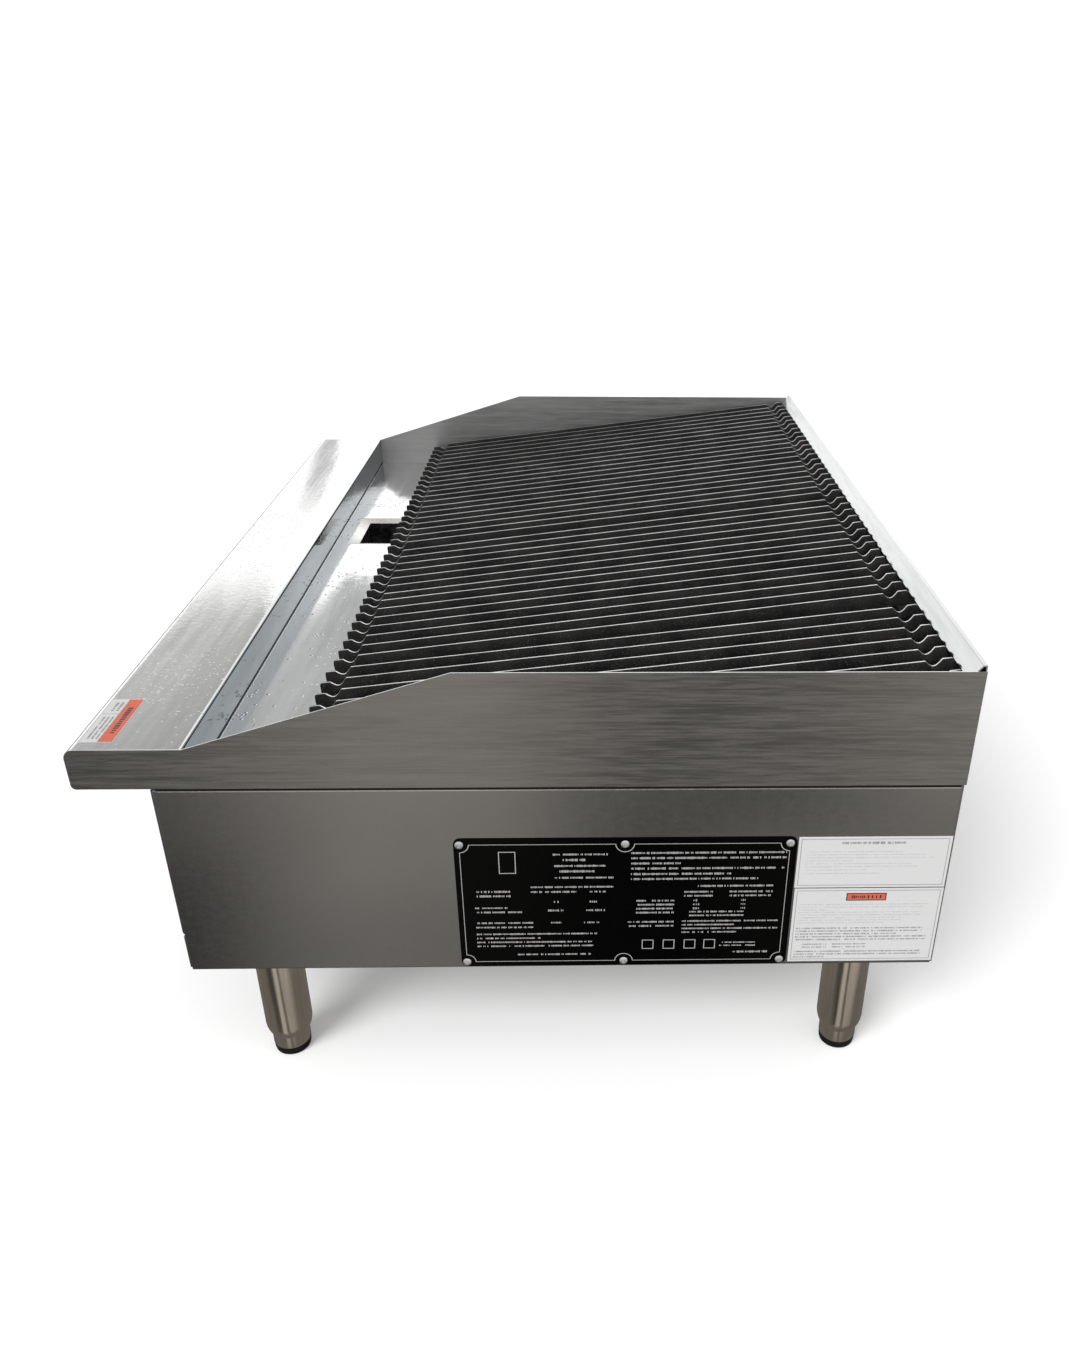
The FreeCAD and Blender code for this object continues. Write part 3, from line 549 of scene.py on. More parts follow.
def lathe(form, profile, centre, axis="Z", segments=72):
    """Turned solid: profile is (radius, place along the axis) from one end on the axis to the other."""
    order = {"X": (2, 0, 1), "Y": (0, 2, 1), "Z": (0, 1, 2)}[axis]
    rings = []
    for radius, along in profile:
        ring = []
        for step in range(segments if radius > 1e-7 else 1):
            turn = 2 * math.pi * step / segments
            parts = (radius * math.cos(turn), radius * math.sin(turn), along)
            ring.append(form.verts.new(Vector(centre) + Vector([parts[i] for i in order])))
        rings.append(ring)
    for low, high in zip(rings, rings[1:]):
        for step in range(segments):
            after = (step + 1) % segments
            corners = [low[step % len(low)], low[after % len(low)]]
            corners += [high[after % len(high)], high[step % len(high)]]
            corners = list(dict.fromkeys(corners))
            if len(corners) > 2:
                form.faces.new(corners)


def skinned(form, sections, capped=True):
    """Skin from each section of vertices to the next; returns the faces of each step.

    Without caps the last section runs on into the first.
    """
    count = len(sections[0])
    runs = []
    for near, far in zip(sections, sections[1:] if capped else sections[1:] + sections[:1]):
        corners = [(near[i], far[i], far[(i + 1) % count], near[(i + 1) % count]) for i in range(count)]
        runs.append([form.faces.new(corner) for corner in corners])
    if capped:
        form.faces.new(sections[0])
        form.faces.new(list(reversed(sections[-1])))
    return runs


def turned(name, profile, centre, axis="Z", segments=72, edge=None):
    mesh = drawn(lambda form: lathe(form, profile, centre, axis, segments), name)
    smooth(mesh, 30.0)
    return baked(mesh, name, eased(edge, 2, 30.0)) if edge else mesh


def brick(form, low, high):
    low, high = Vector(low), Vector(high)
    size = high - low
    for vertex in bmesh.ops.create_cube(form, size=1.0)["verts"]:
        vertex.co = low + Vector(((vertex.co[i] + 0.5) * size[i] for i in range(3)))


def slab(name, low, high, edge):
    mesh = drawn(lambda form: brick(form, low, high), name)
    return baked(smooth(mesh), name, eased(edge))


def on_side(y, z, lift=0.0):
    """Matrix that lays an XY drawing on the machine's right side, with its origin at (y, z)."""
    return Matrix(((0, 0, 1, SIDE + lift), (1, 0, 0, y), (0, 1, 0, z), (0, 0, 0, 1)))


# ---- geometry node helpers ----


def shape_tree(name, inputs):
    """Empty geometry tree with named inputs."""
    nodes, given, leave = group(name, "GeometryNodeTree", inputs, ["Geometry"], "Geometry")
    return nodes, given, leave["Geometry"]


def repeated(nodes, points, shape, **settings):
    """Real copies of a shape on points; settings are the instances' Scale or Rotation."""
    inputs = {"Points": points, "Instance": shape, **settings}
    copies = nodes.add("GeometryNodeInstanceOnPoints", inputs)
    return nodes.add("GeometryNodeRealizeInstances", {0: copies.outputs[0]}).outputs[0]


def coated(nodes, shape, material):
    return nodes.add("GeometryNodeSetMaterial", {"Geometry": shape, "Material": material})


def grown(tree, name, **values):
    """Mesh that a geometry tree gives for these inputs."""
    holder = placed(name, bpy.data.meshes.new(name + "_seed"))
    modifier = holder.modifiers.new(name, "NODES")
    modifier.node_group = tree
    for item in tree.interface.items_tree:
        if item.item_type == "SOCKET" and item.in_out == "INPUT" and item.name in values:
            modifier[item.identifier] = values[item.name]
    return taken(holder)


def template(name, mesh):
    """Object that only serves as the shape a tree repeats; removed before the end."""
    made = placed(name, mesh)
    made.hide_render = True
    TEMPLATES.append(made)
    return made


TEMPLATES = []


# ---- grates ----

SLOPE = math.radians(7.24)
BAR_PITCH = 21.15 * MM
BAR_COUNT = 7
RIB_COUNT = 4
PERCHED = 1             # this section's front sits a little high on its rail
PERCH_RISE = 4.2 * MM
GRATE_LENGTH = 518.6 * MM
BAR_DEPTH = 14 * MM
OVER_RAIL = 12 * MM     # depth of a bar where it lies on a rail
RAIL_END = 38.0         # distance from a bar's front end to past the front rail, in mm
FULL_WIDTH = 6 * MM
FLARE_DEPTH = 8 * MM
HEAD_END = 8.6 * MM
NOTCH_END = 23.2 * MM


def blend(place, stops):
    """Value at a place between (place, value) stops."""
    for (start, low), (end, high) in zip(stops, stops[1:]):
        if place <= end:
            share = max(place - start, 0.0) / (end - start)
            return low + (high - low) * share
    return stops[-1][1]


def from_end(y):
    """Distance to the nearer end of a bar; the rear head is 2 mm the shorter."""
    return min(y, GRATE_LENGTH - y + 2 * MM)


def crown_width(y):
    """Width of a bar's crown: full at the heads, narrower in the notches, narrow on the run."""
    stops = [
        (0.0, 4.2 * MM), (HEAD_END, 3.8 * MM), (HEAD_END + 3 * MM, 2.8 * MM),
        (NOTCH_END, 2.6 * MM), (NOTCH_END + 5 * MM, 2.2 * MM),
    ]
    return blend(from_end(y), stops)


def crown_flat(y):
    """Share of the crown that is its flat top."""
    stops = [(0.0, 0.2), (HEAD_END, 0.22), (HEAD_END + 2 * MM, 0.55), (NOTCH_END, 0.6)]
    return blend(from_end(y), stops)


def scoop(start, end, depth, steps=14):
    """Points of a rounded drip notch between two (y, z) ends."""
    points = []
    for step in range(steps + 1):
        share = step / steps
        level = start[1] + (end[1] - start[1]) * share
        y = start[0] + (end[0] - start[0]) * share
        points.append((y, level - depth * math.sin(math.pi * share) ** 1.1))
    return points


def ridge_line():
    """Top line of a bar from its front end to its rear end, as (y, z)."""
    end = GRATE_LENGTH / MM
    line = [(0.0, -3.8), (0.3, -2.9), (1.0, -2.4)]
    line += scoop((HEAD_END / MM, -2.4), (NOTCH_END / MM, 0.0), 5.0)
    line.append((RAIL_END, 0.0))
    start, stop, count = RAIL_END + 3, end - 22.3, 60
    line += [(start + (stop - start) * step / count, 0.0) for step in range(count)]
    line += scoop((stop, 0.0), (end - 8.8, 0.6), 5.2)
    line += [(end - 1.4, 0.6), (end - 0.4, -0.1), (end, -1.4)]
    return [(y * MM, z * MM) for y, z in line]


def underside(y):
    """Bottom line of a bar: a deep boss behind the head, shallower over the rails at both ends."""
    end = GRATE_LENGTH / MM
    over_rail, run = OVER_RAIL / MM, BAR_DEPTH / MM
    stops = [
        (0.0, over_rail), (2.5, over_rail), (6.0, 19.5), (17.2, 20.0), (18.8, over_rail),
        (RAIL_END, over_rail), (RAIL_END + 3, run), (end - 14, run), (end - 11, over_rail),
        (end, over_rail),
    ]
    return -blend(y / MM, stops) * MM


def draw_bar(form):
    """One bar: sections along the ridge line, narrow and rounded on top, flared below."""
    mark = form.faces.layers.bool.new("ridge")
    full = FULL_WIDTH / 2
    sections = []
    for y, top in ridge_line():
        low = underside(y)
        crown = crown_width(y) / 2
        waist = crown + (full - crown) * 0.45
        half = [
            (full - 0.7 * MM, low),
            (full, low + 0.8 * MM),
            (full, min(-FLARE_DEPTH, top - 2.6 * MM)),
            (waist, top - 2.2 * MM),
            (crown, top - 0.8 * MM),
            (crown * 0.85, top - 0.25 * MM),
            (crown * crown_flat(y), top),
        ]
        around = half + [(-x, z) for x, z in reversed(half)]
        sections.append([form.verts.new((x + full, y, z)) for x, z in around])
    for faces in skinned(form, sections):
        # The crown's flat top is marked to take the ridge's painted highlight.
        faces[len(half) - 1][mark] = True


def draw_rib(form):
    """Cross rib that ties the bars together underneath, rounded on top."""
    width = (BAR_COUNT - 1) * BAR_PITCH + FULL_WIDTH
    profile = [(0, 0), (8, 0), (8, 5.4), (6.6, 7), (1.4, 7), (0, 5.4)]
    ends = []
    for x in (0.4 * MM, width - 0.4 * MM):
        ends.append([form.verts.new((x, y * MM, z * MM - BAR_DEPTH)) for y, z in profile])
    skinned(form, ends)


def grate_tree():
    """Bars in a row over cross ribs, with the slight unevenness of a casting."""
    nodes, given, leave = shape_tree(
        "grate_section",
        {
            "Bar": ("Object", None),
            "Rib": ("Object", None),
            "Bars": ("Int", BAR_COUNT),
            "Pitch": ("Float", BAR_PITCH),
            "Rib Start": ("Float", 0.06),
            "Rib Pitch": ("Float", 0.133),
            "Unevenness": ("Float", 0.0003),
            "Seed": ("Float", 0.0),
            "Skin": ("Material", None),
            "Ridge": ("Material", None),
        },
    )
    across = nodes.vector(X=given["Pitch"])
    along = nodes.vector(Y=given["Rib Pitch"])
    first = nodes.vector(Y=given["Rib Start"])
    joined = nodes.add("GeometryNodeJoinGeometry")
    for label, line in (
        ("Bar", {"Count": given["Bars"], "Offset": across}),
        ("Rib", {"Count": RIB_COUNT, "Start Location": first, "Offset": along}),
    ):
        points = nodes.add("GeometryNodeMeshLine", line).outputs[0]
        nodes.feed(joined.inputs[0], repeated(nodes, points, nodes.shape(given[label])))
    where = nodes.add("GeometryNodeInputPosition").outputs[0]
    wobble = nodes.add(
        "ShaderNodeTexNoise", {"Vector": where, "W": given["Seed"], "Scale": 26.0, "Detail": 2.0},
        noise_dimensions="4D",
    )
    centred = nodes.add(
        "ShaderNodeVectorMath", {0: wobble.outputs["Color"], 1: (0.5, 0.5, 0.5)}, operation="SUBTRACT"
    )
    scaled = nodes.add(
        "ShaderNodeVectorMath", {0: centred.outputs[0], "Scale": given["Unevenness"]}, operation="SCALE"
    )
    uneven = {"Geometry": joined.outputs[0], "Offset": scaled.outputs[0]}
    moved = nodes.add("GeometryNodeSetPosition", uneven).outputs[0]
    skin = coated(nodes, moved, given["Skin"]).outputs[0]
    # Marked crown faces take the ridge material, a painted highlight.
    marked = nodes.add("GeometryNodeInputNamedAttribute", {"Name": "ridge"}, data_type="BOOLEAN")
    ridge = coated(nodes, skin, given["Ridge"])
    nodes.feed(ridge.inputs["Selection"], marked.outputs["Attribute"])
    nodes.feed(leave, ridge.outputs[0])
    return nodes.tree


def make_grates():
    bar = template("bar_shape", smooth(drawn(draw_bar, "bar_shape"), 40.0))
    rib = template("rib_shape", smooth(drawn(draw_rib, "rib_shape"), 40.0))
    tree = grate_tree()
    for number in GRATES:
        node = f"grate_{number}"
        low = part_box(node)[0]
        mesh = grown(
            tree, node + "_casting", Bar=bar, Rib=rib, Seed=float(number) * 3.7,
            Skin=coat_of("iron"), Ridge=coat_of("iron_ridge"),
        )
        front = low.y - 2.4 * MM * math.sin(SLOPE)
        level = low.z + OVER_RAIL * math.cos(SLOPE)
        slope = SLOPE
        if number == PERCHED:
            level += PERCH_RISE
            slope -= PERCH_RISE / GRATE_LENGTH
        mesh.transform(Matrix.Translation((low.x, front, level)) @ Matrix.Rotation(slope, 4, "X"))
        shown(node + "_casting", mesh, body_of(node), [node])


# ---- legs and feet ----


def inset_profile(radius, rows, base=0.0):
    """Turned profile out of rows of (inset from the radius, height over the base) in mm.

    It starts and ends on the axis.
    """
    points = [(radius - inset * MM, base + height * MM) for inset, height in rows]
    return [(0, points[0][1])] + points + [(0, points[-1][1])]


def make_legs():
    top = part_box("body_side_right")[0].z - 0.2 * MM
    for number in LEGS:
        leg, foot = f"leg_{number}", f"levelling_foot_{number}"
        low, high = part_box(leg)
        centre = ((low.x + high.x) / 2, (low.y + high.y) / 2, 0)
        shoulder = (top - low.z) / MM
        tube = inset_profile(
            (high.x - low.x) / 2,
            [(0.6, shoulder), (0, shoulder - 0.6), (0, 11.5), (0.4, 8), (1.3, 4.4), (2.4, 1.6),
             (3.0, 0.3), (3.5, 0), (3.7, 0.3), (3.7, 20)],
            low.z,
        )
        low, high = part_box(foot)
        radius = (high.x - low.x) / 2
        length = high.z / MM
        shank = inset_profile(
            radius, [(0.5, length), (0, length - 0.5), (0, 9.2), (0.4, 8.2), (1.0, PAD_HEIGHT)]
        )
        pad = inset_profile(
            radius,
            [(1.4, PAD_HEIGHT), (1.4, 7.2), (0.4, 7.0), (0.3, 4.6), (1.0, 4.3), (1.0, 3.7),
             (0.5, 3.4), (0.9, 1.0), (2.2, 0)],
        )
        for name, profile, body, finish, replaced in (
            (leg + "_tube", tube, CHASSIS, "leg_steel", [leg]),
            (foot + "_shank", shank, foot, "leg_steel", [foot]),
            (foot + "_pad", pad, foot, "pad_rubber", []),
        ):
            piece(name, turned(name, profile, centre), body, [finish], replaced)


# ---- plate, rivets and labels ----


LETTER_PITCH = 1.15 * MM
PRINT_DEPTH = 0.06 * MM


def print_tree():
    """Rows of small upright ticks that stand for small print, with gaps as between words."""
    nodes, given, leave = shape_tree(
        "print_rows",
        {
            "Width": ("Float", 0.08),
            "Height": ("Float", 0.02),
            "Letters": ("Int", 60),
            "Rows": ("Int", 5),
            "Stroke": ("Float", 0.0018),
            "Gaps": ("Float", 0.16),
            "Seed": ("Int", 1),
            "Ink": ("Material", None),
        },
    )
    rows = {"Size X": "Width", "Size Y": "Height", "Vertices X": "Letters", "Vertices Y": "Rows"}
    grid = nodes.add("GeometryNodeMeshGrid", {socket: given[name] for socket, name in rows.items()})
    chance = {"Probability": given["Gaps"], "Seed": given["Seed"]}
    dropped = nodes.add("FunctionNodeRandomValue", chance, data_type="BOOLEAN")
    kept = nodes.add(
        "GeometryNodeDeleteGeometry", {"Geometry": grid.outputs[0], "Selection": dropped.outputs[3]}
    )
    tall = nodes.add("FunctionNodeRandomValue", {"Seed": given["Seed"]}, data_type="FLOAT")
    nodes.feed(tall.inputs[2], 0.62)
    nodes.feed(tall.inputs[3], 1.0)
    step = nodes.math("DIVIDE", given["Width"], given["Letters"])
    wide = nodes.math("MULTIPLY", step, nodes.math("MULTIPLY", tall.outputs[1], 0.85))
    high = nodes.math("MULTIPLY", given["Stroke"], tall.outputs[1])
    block = nodes.add("GeometryNodeMeshCube", {"Size": (1.0, 1.0, 1.0)}).outputs[0]
    real = repeated(nodes, kept.outputs[0], block, Scale=nodes.vector(X=wide, Y=high, Z=PRINT_DEPTH))
    nodes.feed(leave, coated(nodes, real, given["Ink"]).outputs[0])
    return nodes.tree


def printed(tree, matrix, block, ink, pitch=LETTER_PITCH):
    """Print in one ink: (left, down, width, letter height) in mm, then (rows, row pitch) if over one."""
    left, down, width, tall = [value * MM for value in block[:4]]
    rows, row_pitch = block[4:] or (1, 0)
    high = (rows - 1) * row_pitch * MM
    mesh = grown(
        tree, "print", Width=width, Height=high, Letters=max(round(width / pitch), 2), Rows=rows,
        Stroke=tall, Seed=round(left * 7000 + down * 13000), Ink=coat_of(ink),
    )
    mesh.transform(matrix @ Matrix.Translation((left + width / 2, -down - high / 2, 0)))
    return mesh


def joined_mesh(name, meshes):
    """One mesh out of several, keeping their materials."""
    form = bmesh.new()
    materials = []
    for mesh in meshes:
        start = len(form.faces)
        form.from_mesh(mesh)
        form.faces.ensure_lookup_table()
        for face in form.faces[start:]:
            material = mesh.materials[face.material_index] if mesh.materials else None
            if material not in materials:
                materials.append(material)
            face.material_index = materials.index(material)
    result = bpy.data.meshes.new(name)
    form.to_mesh(result)
    form.free()
    for material in materials:
        result.materials.append(material)
    return result


def with_coat(mesh, finish):
    mesh.materials.clear()
    mesh.materials.append(coat_of(finish))
    return mesh


def rivet_places():
    """(y, z) of the six rivets: top row and bottom row, left to right."""
    low, high = PLATE
    columns = (low.y + 4.8 * MM, (low.y + high.y) / 2 - 0.75 * MM, high.y - 6 * MM)
    return [(y, z) for z in (high.z - 6 * MM, low.z + 5 * MM) for y in columns]


def strip(form, line, width, lift):
    """Closed flat line of some width round a closed path of (y, z), on the plate's face."""
    count = len(line)
    rings = []
    for i, point in enumerate(line):
        here = Vector(point)
        before = (here - Vector(line[i - 1])).normalized()
        after = (Vector(line[(i + 1) % count]) - here).normalized()
        along = (before + after).normalized()
        side = Vector((-along.y, along.x)) * width / 2
        ring = []
        for offset, height in ((side, 0.0), (-side, 0.0), (-side, lift), (side, lift)):
            ring.append(form.verts.new((PLATE[1].x + height, here.x + offset.x, here.y + offset.y)))
        rings.append(ring)
    skinned(form, rings, capped=False)


def border_line():
    """Path of the plate's border: straight runs that step round each rivet in an arc."""
    radius = 7.6 * MM
    top, bottom = rivet_places()[:3], rivet_places()[3:]
    stops = [
        (top[0], -90, 0), (top[1], -180, 0), (top[2], -180, -90),
        (bottom[2], 90, 180), (bottom[1], 0, 180), (bottom[0], 0, 90),
    ]
    line = []
    for (y, z), start, end in stops:
        steps = max(abs(end - start) // 9, 2)
        for step in range(steps + 1):
            turn = math.radians(start + (end - start) * step / steps)
            line.append((y + radius * math.cos(turn), z + radius * math.sin(turn)))
    return line


def outlined(form, low, high, width, lift):
    """Thin rectangular outline on the machine's right side, between two (y, z) corners."""
    (y0, z0), (y1, z1) = low, high
    for a, b in (
        ((y0, z0), (y1, z0 + width)), ((y0, z1 - width), (y1, z1)),
        ((y0, z0 + width), (y0 + width, z1 - width)), ((y1 - width, z0 + width), (y1, z1 - width)),
    ):
        brick(form, (SIDE + lift, a[0], a[1]), (SIDE + lift + 0.05 * MM, b[0], b[1]))


PLATE_PRINT = [
    # left, down, width, letter height, then rows and row pitch
    (81, 16, 45, 2), (89, 21.5, 20, 2.4), (82, 27.5, 41, 2), (86, 33, 28, 2.4), (81, 39.5, 49, 1.9),
    (62, 49, 69, 1.9), (62, 54, 37, 1.9), (111, 54, 12, 1.9), (17, 53.5, 27, 2.2, 2, 4.6),
    (81, 64.5, 6, 1.9), (111, 64.5, 5, 1.9), (15, 70.5, 26, 1.7), (15, 75, 38, 1.9),
    (76, 73.5, 12, 2.2), (108, 73.5, 16, 2.2), (15, 86.5, 47, 1.8, 2, 4.7), (77, 86.5, 9, 1.8),
    (106, 86.5, 12, 1.8), (15, 98.5, 101, 1.8), (15, 103, 54, 1.8), (15, 107.3, 98, 1.8, 2, 4.3),
    (49, 121, 62, 1.9), (145, 15, 127, 2.2, 2, 5.2), (145, 25.5, 40, 2.2), (145, 30.7, 126, 2.2),
    (145, 36.3, 82, 2.2), (145, 41.4, 105, 2.2), (201, 49, 62, 2.1), (190, 55, 23, 1.9, 2, 4.2),
    (228, 55, 35, 1.9, 2, 4.2), (150, 64, 31, 2, 4, 4.2), (198, 64, 4, 2, 3, 4.2),
    (238, 64, 3, 2, 3, 4.2), (195, 76, 45, 1.8, 2, 4), (143, 86.5, 38, 1.9, 2, 4.4),
    (189, 86, 81, 1.8), (189, 90, 46, 1.8), (189, 94, 81, 1.8), (189, 98, 46, 1.8),
    (222, 109.5, 30, 1.4, 2, 3.4), (233, 120, 30, 2.2),
]
PLATE_BLANKS = [(36, 13, 14, 22)] + [(left, 106, 10, 10) for left in (155, 173, 191, 208)]


def make_plate():
    refined("rating_plate", "plate_enamel", edge=0.25 * MM)
    low, high = PLATE
    lift = high.x - SIDE

    def marks(form):
        strip(form, border_line(), 0.7 * MM, 0.05 * MM)
        for left, down, wide, tall in PLATE_BLANKS:
            y, z = low.y + left * MM, high.z - (down + tall) * MM
            outlined(form, (y, z), (y + wide * MM, z + tall * MM), 0.7 * MM, lift)

    prints = [with_coat(drawn(marks, "plate_border"), "print_silver")]
    tree = print_tree()
    matrix = on_side(low.y, high.z, lift + 0.02 * MM)
    prints += [printed(tree, matrix, block, "print_silver") for block in PLATE_PRINT]
    shown("plate_printing", joined_mesh("plate_printing", prints), CHASSIS)


def rivet_tree():
    """One rivet on each given point."""
    nodes, given, leave = shape_tree(
        "rivets_on_points",
        {"Points": ("Object", None), "Rivet": ("Object", None), "Metal": ("Material", None)},
    )
    real = repeated(nodes, nodes.shape(given["Points"]), nodes.shape(given["Rivet"]))
    nodes.feed(leave, coated(nodes, real, given["Metal"]).outputs[0])
    return nodes.tree


def make_rivets():
    head = [(0, 0), (1.6, 0), (1.6, 0.7), (3.6, 0.7), (3.7, 1.0), (3.4, 1.6), (2.8, 2.1), (2.0, 2.4)]
    head += [(1.35, 2.45), (1.15, 2.3), (1.05, 0.9), (0, 0.9)]
    profile = [(radius * MM, along * MM) for radius, along in head]
    rivet = template("rivet_shape", turned("rivet_shape", profile, (0, 0, 0), "X", 32))
    points = bpy.data.meshes.new("rivet_points")
    points.from_pydata([(SIDE, y, z) for y, z in rivet_places()], [], [])
    mesh = grown(
        rivet_tree(), "plate_rivet_heads", Points=template("rivet_points", points), Rivet=rivet,
        Metal=coat_of("rivet_metal"),
    )
    shown("plate_rivet_heads", mesh, CHASSIS, ["plate_rivets"])


UPPER_PRINT = [
    ("print_grey", [(36, 6.2, 52, 2.6)]),
    ("print_pale", [
        (9, 15, 77, 1.1), (8, 18, 98, 1.1), (8, 21, 106, 1.1), (8, 24, 38, 1.1), (7.5, 27, 88, 1.1),
        (7.5, 30, 94, 1.1), (7.5, 33.5, 50, 1.1), (7.5, 37, 62, 1.1),
    ]),
]
LOWER_PRINT = [
    ("print_pale", [
        (5, 17, 110, 1.2), (5, 19.8, 106, 1.2), (5, 22.6, 24, 1.2), (5, 25.4, 104, 1.2, 2, 2.8),
        (5, 31, 88, 1.2, 2, 2.8), (5, 36.6, 74, 1.2),
    ]),
    ("print_grey", [
        (5, 42.5, 108, 1.6, 2, 3.1), (5, 48.7, 86, 1.6), (5, 51.8, 112, 1.6, 2, 3.1),
        (12, 60, 20, 1.5, 2, 3.2), (38, 60, 28, 1.5, 2, 3.2), (5, 68, 110, 1.6, 2, 3),
        (5, 74, 26, 1.5),
    ]),
]


def make_labels():
    film = 0.25 * MM
    tree = print_tree()
    left = FRONT + 572.5 * MM
    upper = ((left, DECK - 102 * MM), (left + 126.5 * MM, DECK - 50.5 * MM), UPPER_PRINT)
    lower = ((left + 0.7 * MM, DECK - 182 * MM), (left + 126.7 * MM, DECK - 103 * MM), LOWER_PRINT)
    parts = []
    for (y0, z0), (y1, z1), blocks in (upper, lower):
        sheet = slab("label", (SIDE, y0, z0), (SIDE + film, y1, z1), 0.1 * MM)
        parts.append(with_coat(sheet, "label_film"))
        inner = ((y0 + 2.2 * MM, z0 + 2.2 * MM), (y1 - 2.2 * MM, z1 - 2.2 * MM))
        border = drawn(lambda form: outlined(form, *inner, 0.5 * MM, film), "label_border")
        parts.append(with_coat(border, "print_grey"))
        matrix = on_side(y0, z1, film + 0.02 * MM)
        for ink, rows in blocks:
            parts += [printed(tree, matrix, block, ink, 0.95 * MM) for block in rows]
    top = lower[1][1]
    for inset, finish in ((0.0, "print_black"), (0.9 * MM, "print_orange")):
        heading = slab(
            "heading",
            (SIDE + film, left + 45 * MM + inset, top - 13 * MM + inset),
            (SIDE + film + 0.06 * MM + inset / 15, left + 79 * MM - inset, top - 5 * MM - inset),
            0.02 * MM,
        )
        parts.append(with_coat(heading, finish))
    matrix = on_side(left, top, film + 0.13 * MM)
    parts.append(printed(tree, matrix, (50, 9, 24, 3.4), "print_black", 1.6 * MM))
    parts += ledge_label(film)
    sheets = joined_mesh("label_sheets", parts)
    shown("label_sheets", sheets, CHASSIS, ["information_labels"])


def ledge_label(film):
    """Label on the ledge's right end: white, with a broad orange band along its rear edge."""
    x0, x1 = 374 * MM, 445 * MM
    y0, y1 = FRONT + 8.2 * MM, FRONT + 34.2 * MM
    band = y0 + 14.5 * MM
    z = LEDGE[1].z
    ink = z + film + 0.05 * MM
    parts = []
    for low, high, finish in (
        ((x0, y0, z), (x1, y1, z + film), "label_film"),
        ((x0 + 0.6 * MM, band, z + film), (x1 - 0.6 * MM, y1 - 0.6 * MM, ink), "print_orange"),
        ((x0 + 0.6 * MM, band - 0.7 * MM, z + film), (x1 - 0.6 * MM, band - 0.1 * MM, ink), "print_grey"),
        ((x0 + 25 * MM, y0 + MM, z + film), (x0 + 25.6 * MM, band - MM, ink), "print_grey"),
    ):
        parts.append(with_coat(slab("ledge_label", low, high, 0.02 * MM), finish))
    tree = print_tree()
    for x, y, block, finish, pitch in (
        (x0 + 31 * MM, band - 3 * MM, (0, 0, 34, 1.6, 3, 3.4), "print_grey", 1.3),
        (x0 + 7 * MM, band - 4 * MM, (0, 0, 12, 2.4, 2, 4), "print_grey", 2.4),
        (x0 + 16 * MM, band + 5.6 * MM, (0, 0, 40, 4.4), "print_black", 3.2),
    ):
        matrix = Matrix.Translation((x, y, ink + 0.02 * MM))
        parts.append(printed(tree, matrix, block, finish, pitch * MM))
    return parts


# ---- painted shadow and highlight strips ----


def make_painted_strips():
    """Dark strips of painted shadow under the ledge's drop and over the body's sides, each with a light
    strip of painted highlight on the bend beside it.
    """
    floor = DECK + 0.8 * MM
    reach = LEDGE[1].x - 2 * MM
    foot = LEDGE[1].y
    bend = foot + 0.7 * MM
    low = (-reach, bend, floor - 0.4 * MM)
    painted_strips = [
        # A dark strip of painted shadow at the foot of the ledge's drop, and a light strip of painted
        # highlight on the trough's bend.
        ("drop_joint", (-reach, foot - 0.3 * MM, floor), (reach, bend, floor + MM), "pad_rubber"),
        ("trough_bend", low, (reach, bend + MM, floor + 0.2 * MM), "cut_edge"),
    ]
    for side, face in (("right", 1), ("left", 0)):
        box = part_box("body_side_" + side)
        front, rear = box[0].y + 3 * MM, box[1].y - MM
        inner, outer = box[face].x - 0.3 * MM, box[face].x + 0.3 * MM
        for part, under, over, finish in (
            # A dark strip of painted shadow just under each splash, and a light strip of painted
            # highlight on the body's bend below it.
            ("joint", 1.3, -0.7, "pad_rubber"),
            ("bend", 2.5, 1.3, "rim_steel"),
        ):
            low = (inner, front, box[1].z - under * MM)
            high = (outer, rear, box[1].z - over * MM)
            painted_strips.append((f"body_{part}_{side}", low, high, finish))
    for name, low, high, finish in painted_strips:
        piece(name, slab(name, low, high, 0.15 * MM), CHASSIS, [finish])


# ---- knobs, bezels and igniters ----


def tick_tree():
    """Marks in an arc round a centre, on the XZ plane."""
    nodes, given, leave = shape_tree(
        "dial_ticks",
        {
            "Radius": ("Float", 0.031),
            "Marks": ("Int", 15),
            "Sweep": ("Float", math.radians(210)),
            "Size": ("Vector", (0.0012, 0.0002, 0.004)),
            "Ink": ("Material", None),
        },
    )
    arc = nodes.add(
        "GeometryNodeCurveArc",
        {"Resolution": given["Marks"], "Radius": given["Radius"], "Sweep Angle": given["Sweep"]},
    )
    points = nodes.add("GeometryNodeCurveToPoints", {"Curve": arc.outputs[0]}, mode="EVALUATED").outputs
    block = nodes.add("GeometryNodeMeshCube", {"Size": given["Size"]}).outputs[0]
    real = repeated(nodes, points[0], block, Rotation=points["Rotation"])
    nodes.feed(leave, coated(nodes, real, given["Ink"]).outputs[0])
    return nodes.tree


def draw_knob(form):
    """Knob round the Y axis at the origin, its face towards -Y: skirt and fluted body; draw_grip adds the
    grip bar.
    """
    segments = 96
    profile = [(0, 24), (17.2, 24), (19, 24.5), (19.9, 26), (21.6, 43), (22.2, 44.6), (25.6, 46.2)]
    profile += [(26.6, 47.2), (27, 48.6), (27, 51.2), (26.4, 52), (4.4, 52), (4.4, 46), (0, 46)]
    lathe(form, [(radius * MM, along * MM) for radius, along in profile], (0, 0, 0), "Y", segments)
    for vertex in form.verts:
        radius = math.hypot(vertex.co.x, vertex.co.z)
        if 18 * MM < radius < 22 * MM:
            turn = math.atan2(vertex.co.z, vertex.co.x)
            shrink = 1 - 0.03 * max(0.0, math.cos(24 * turn)) ** 2
            vertex.co.x *= shrink
            vertex.co.z *= shrink


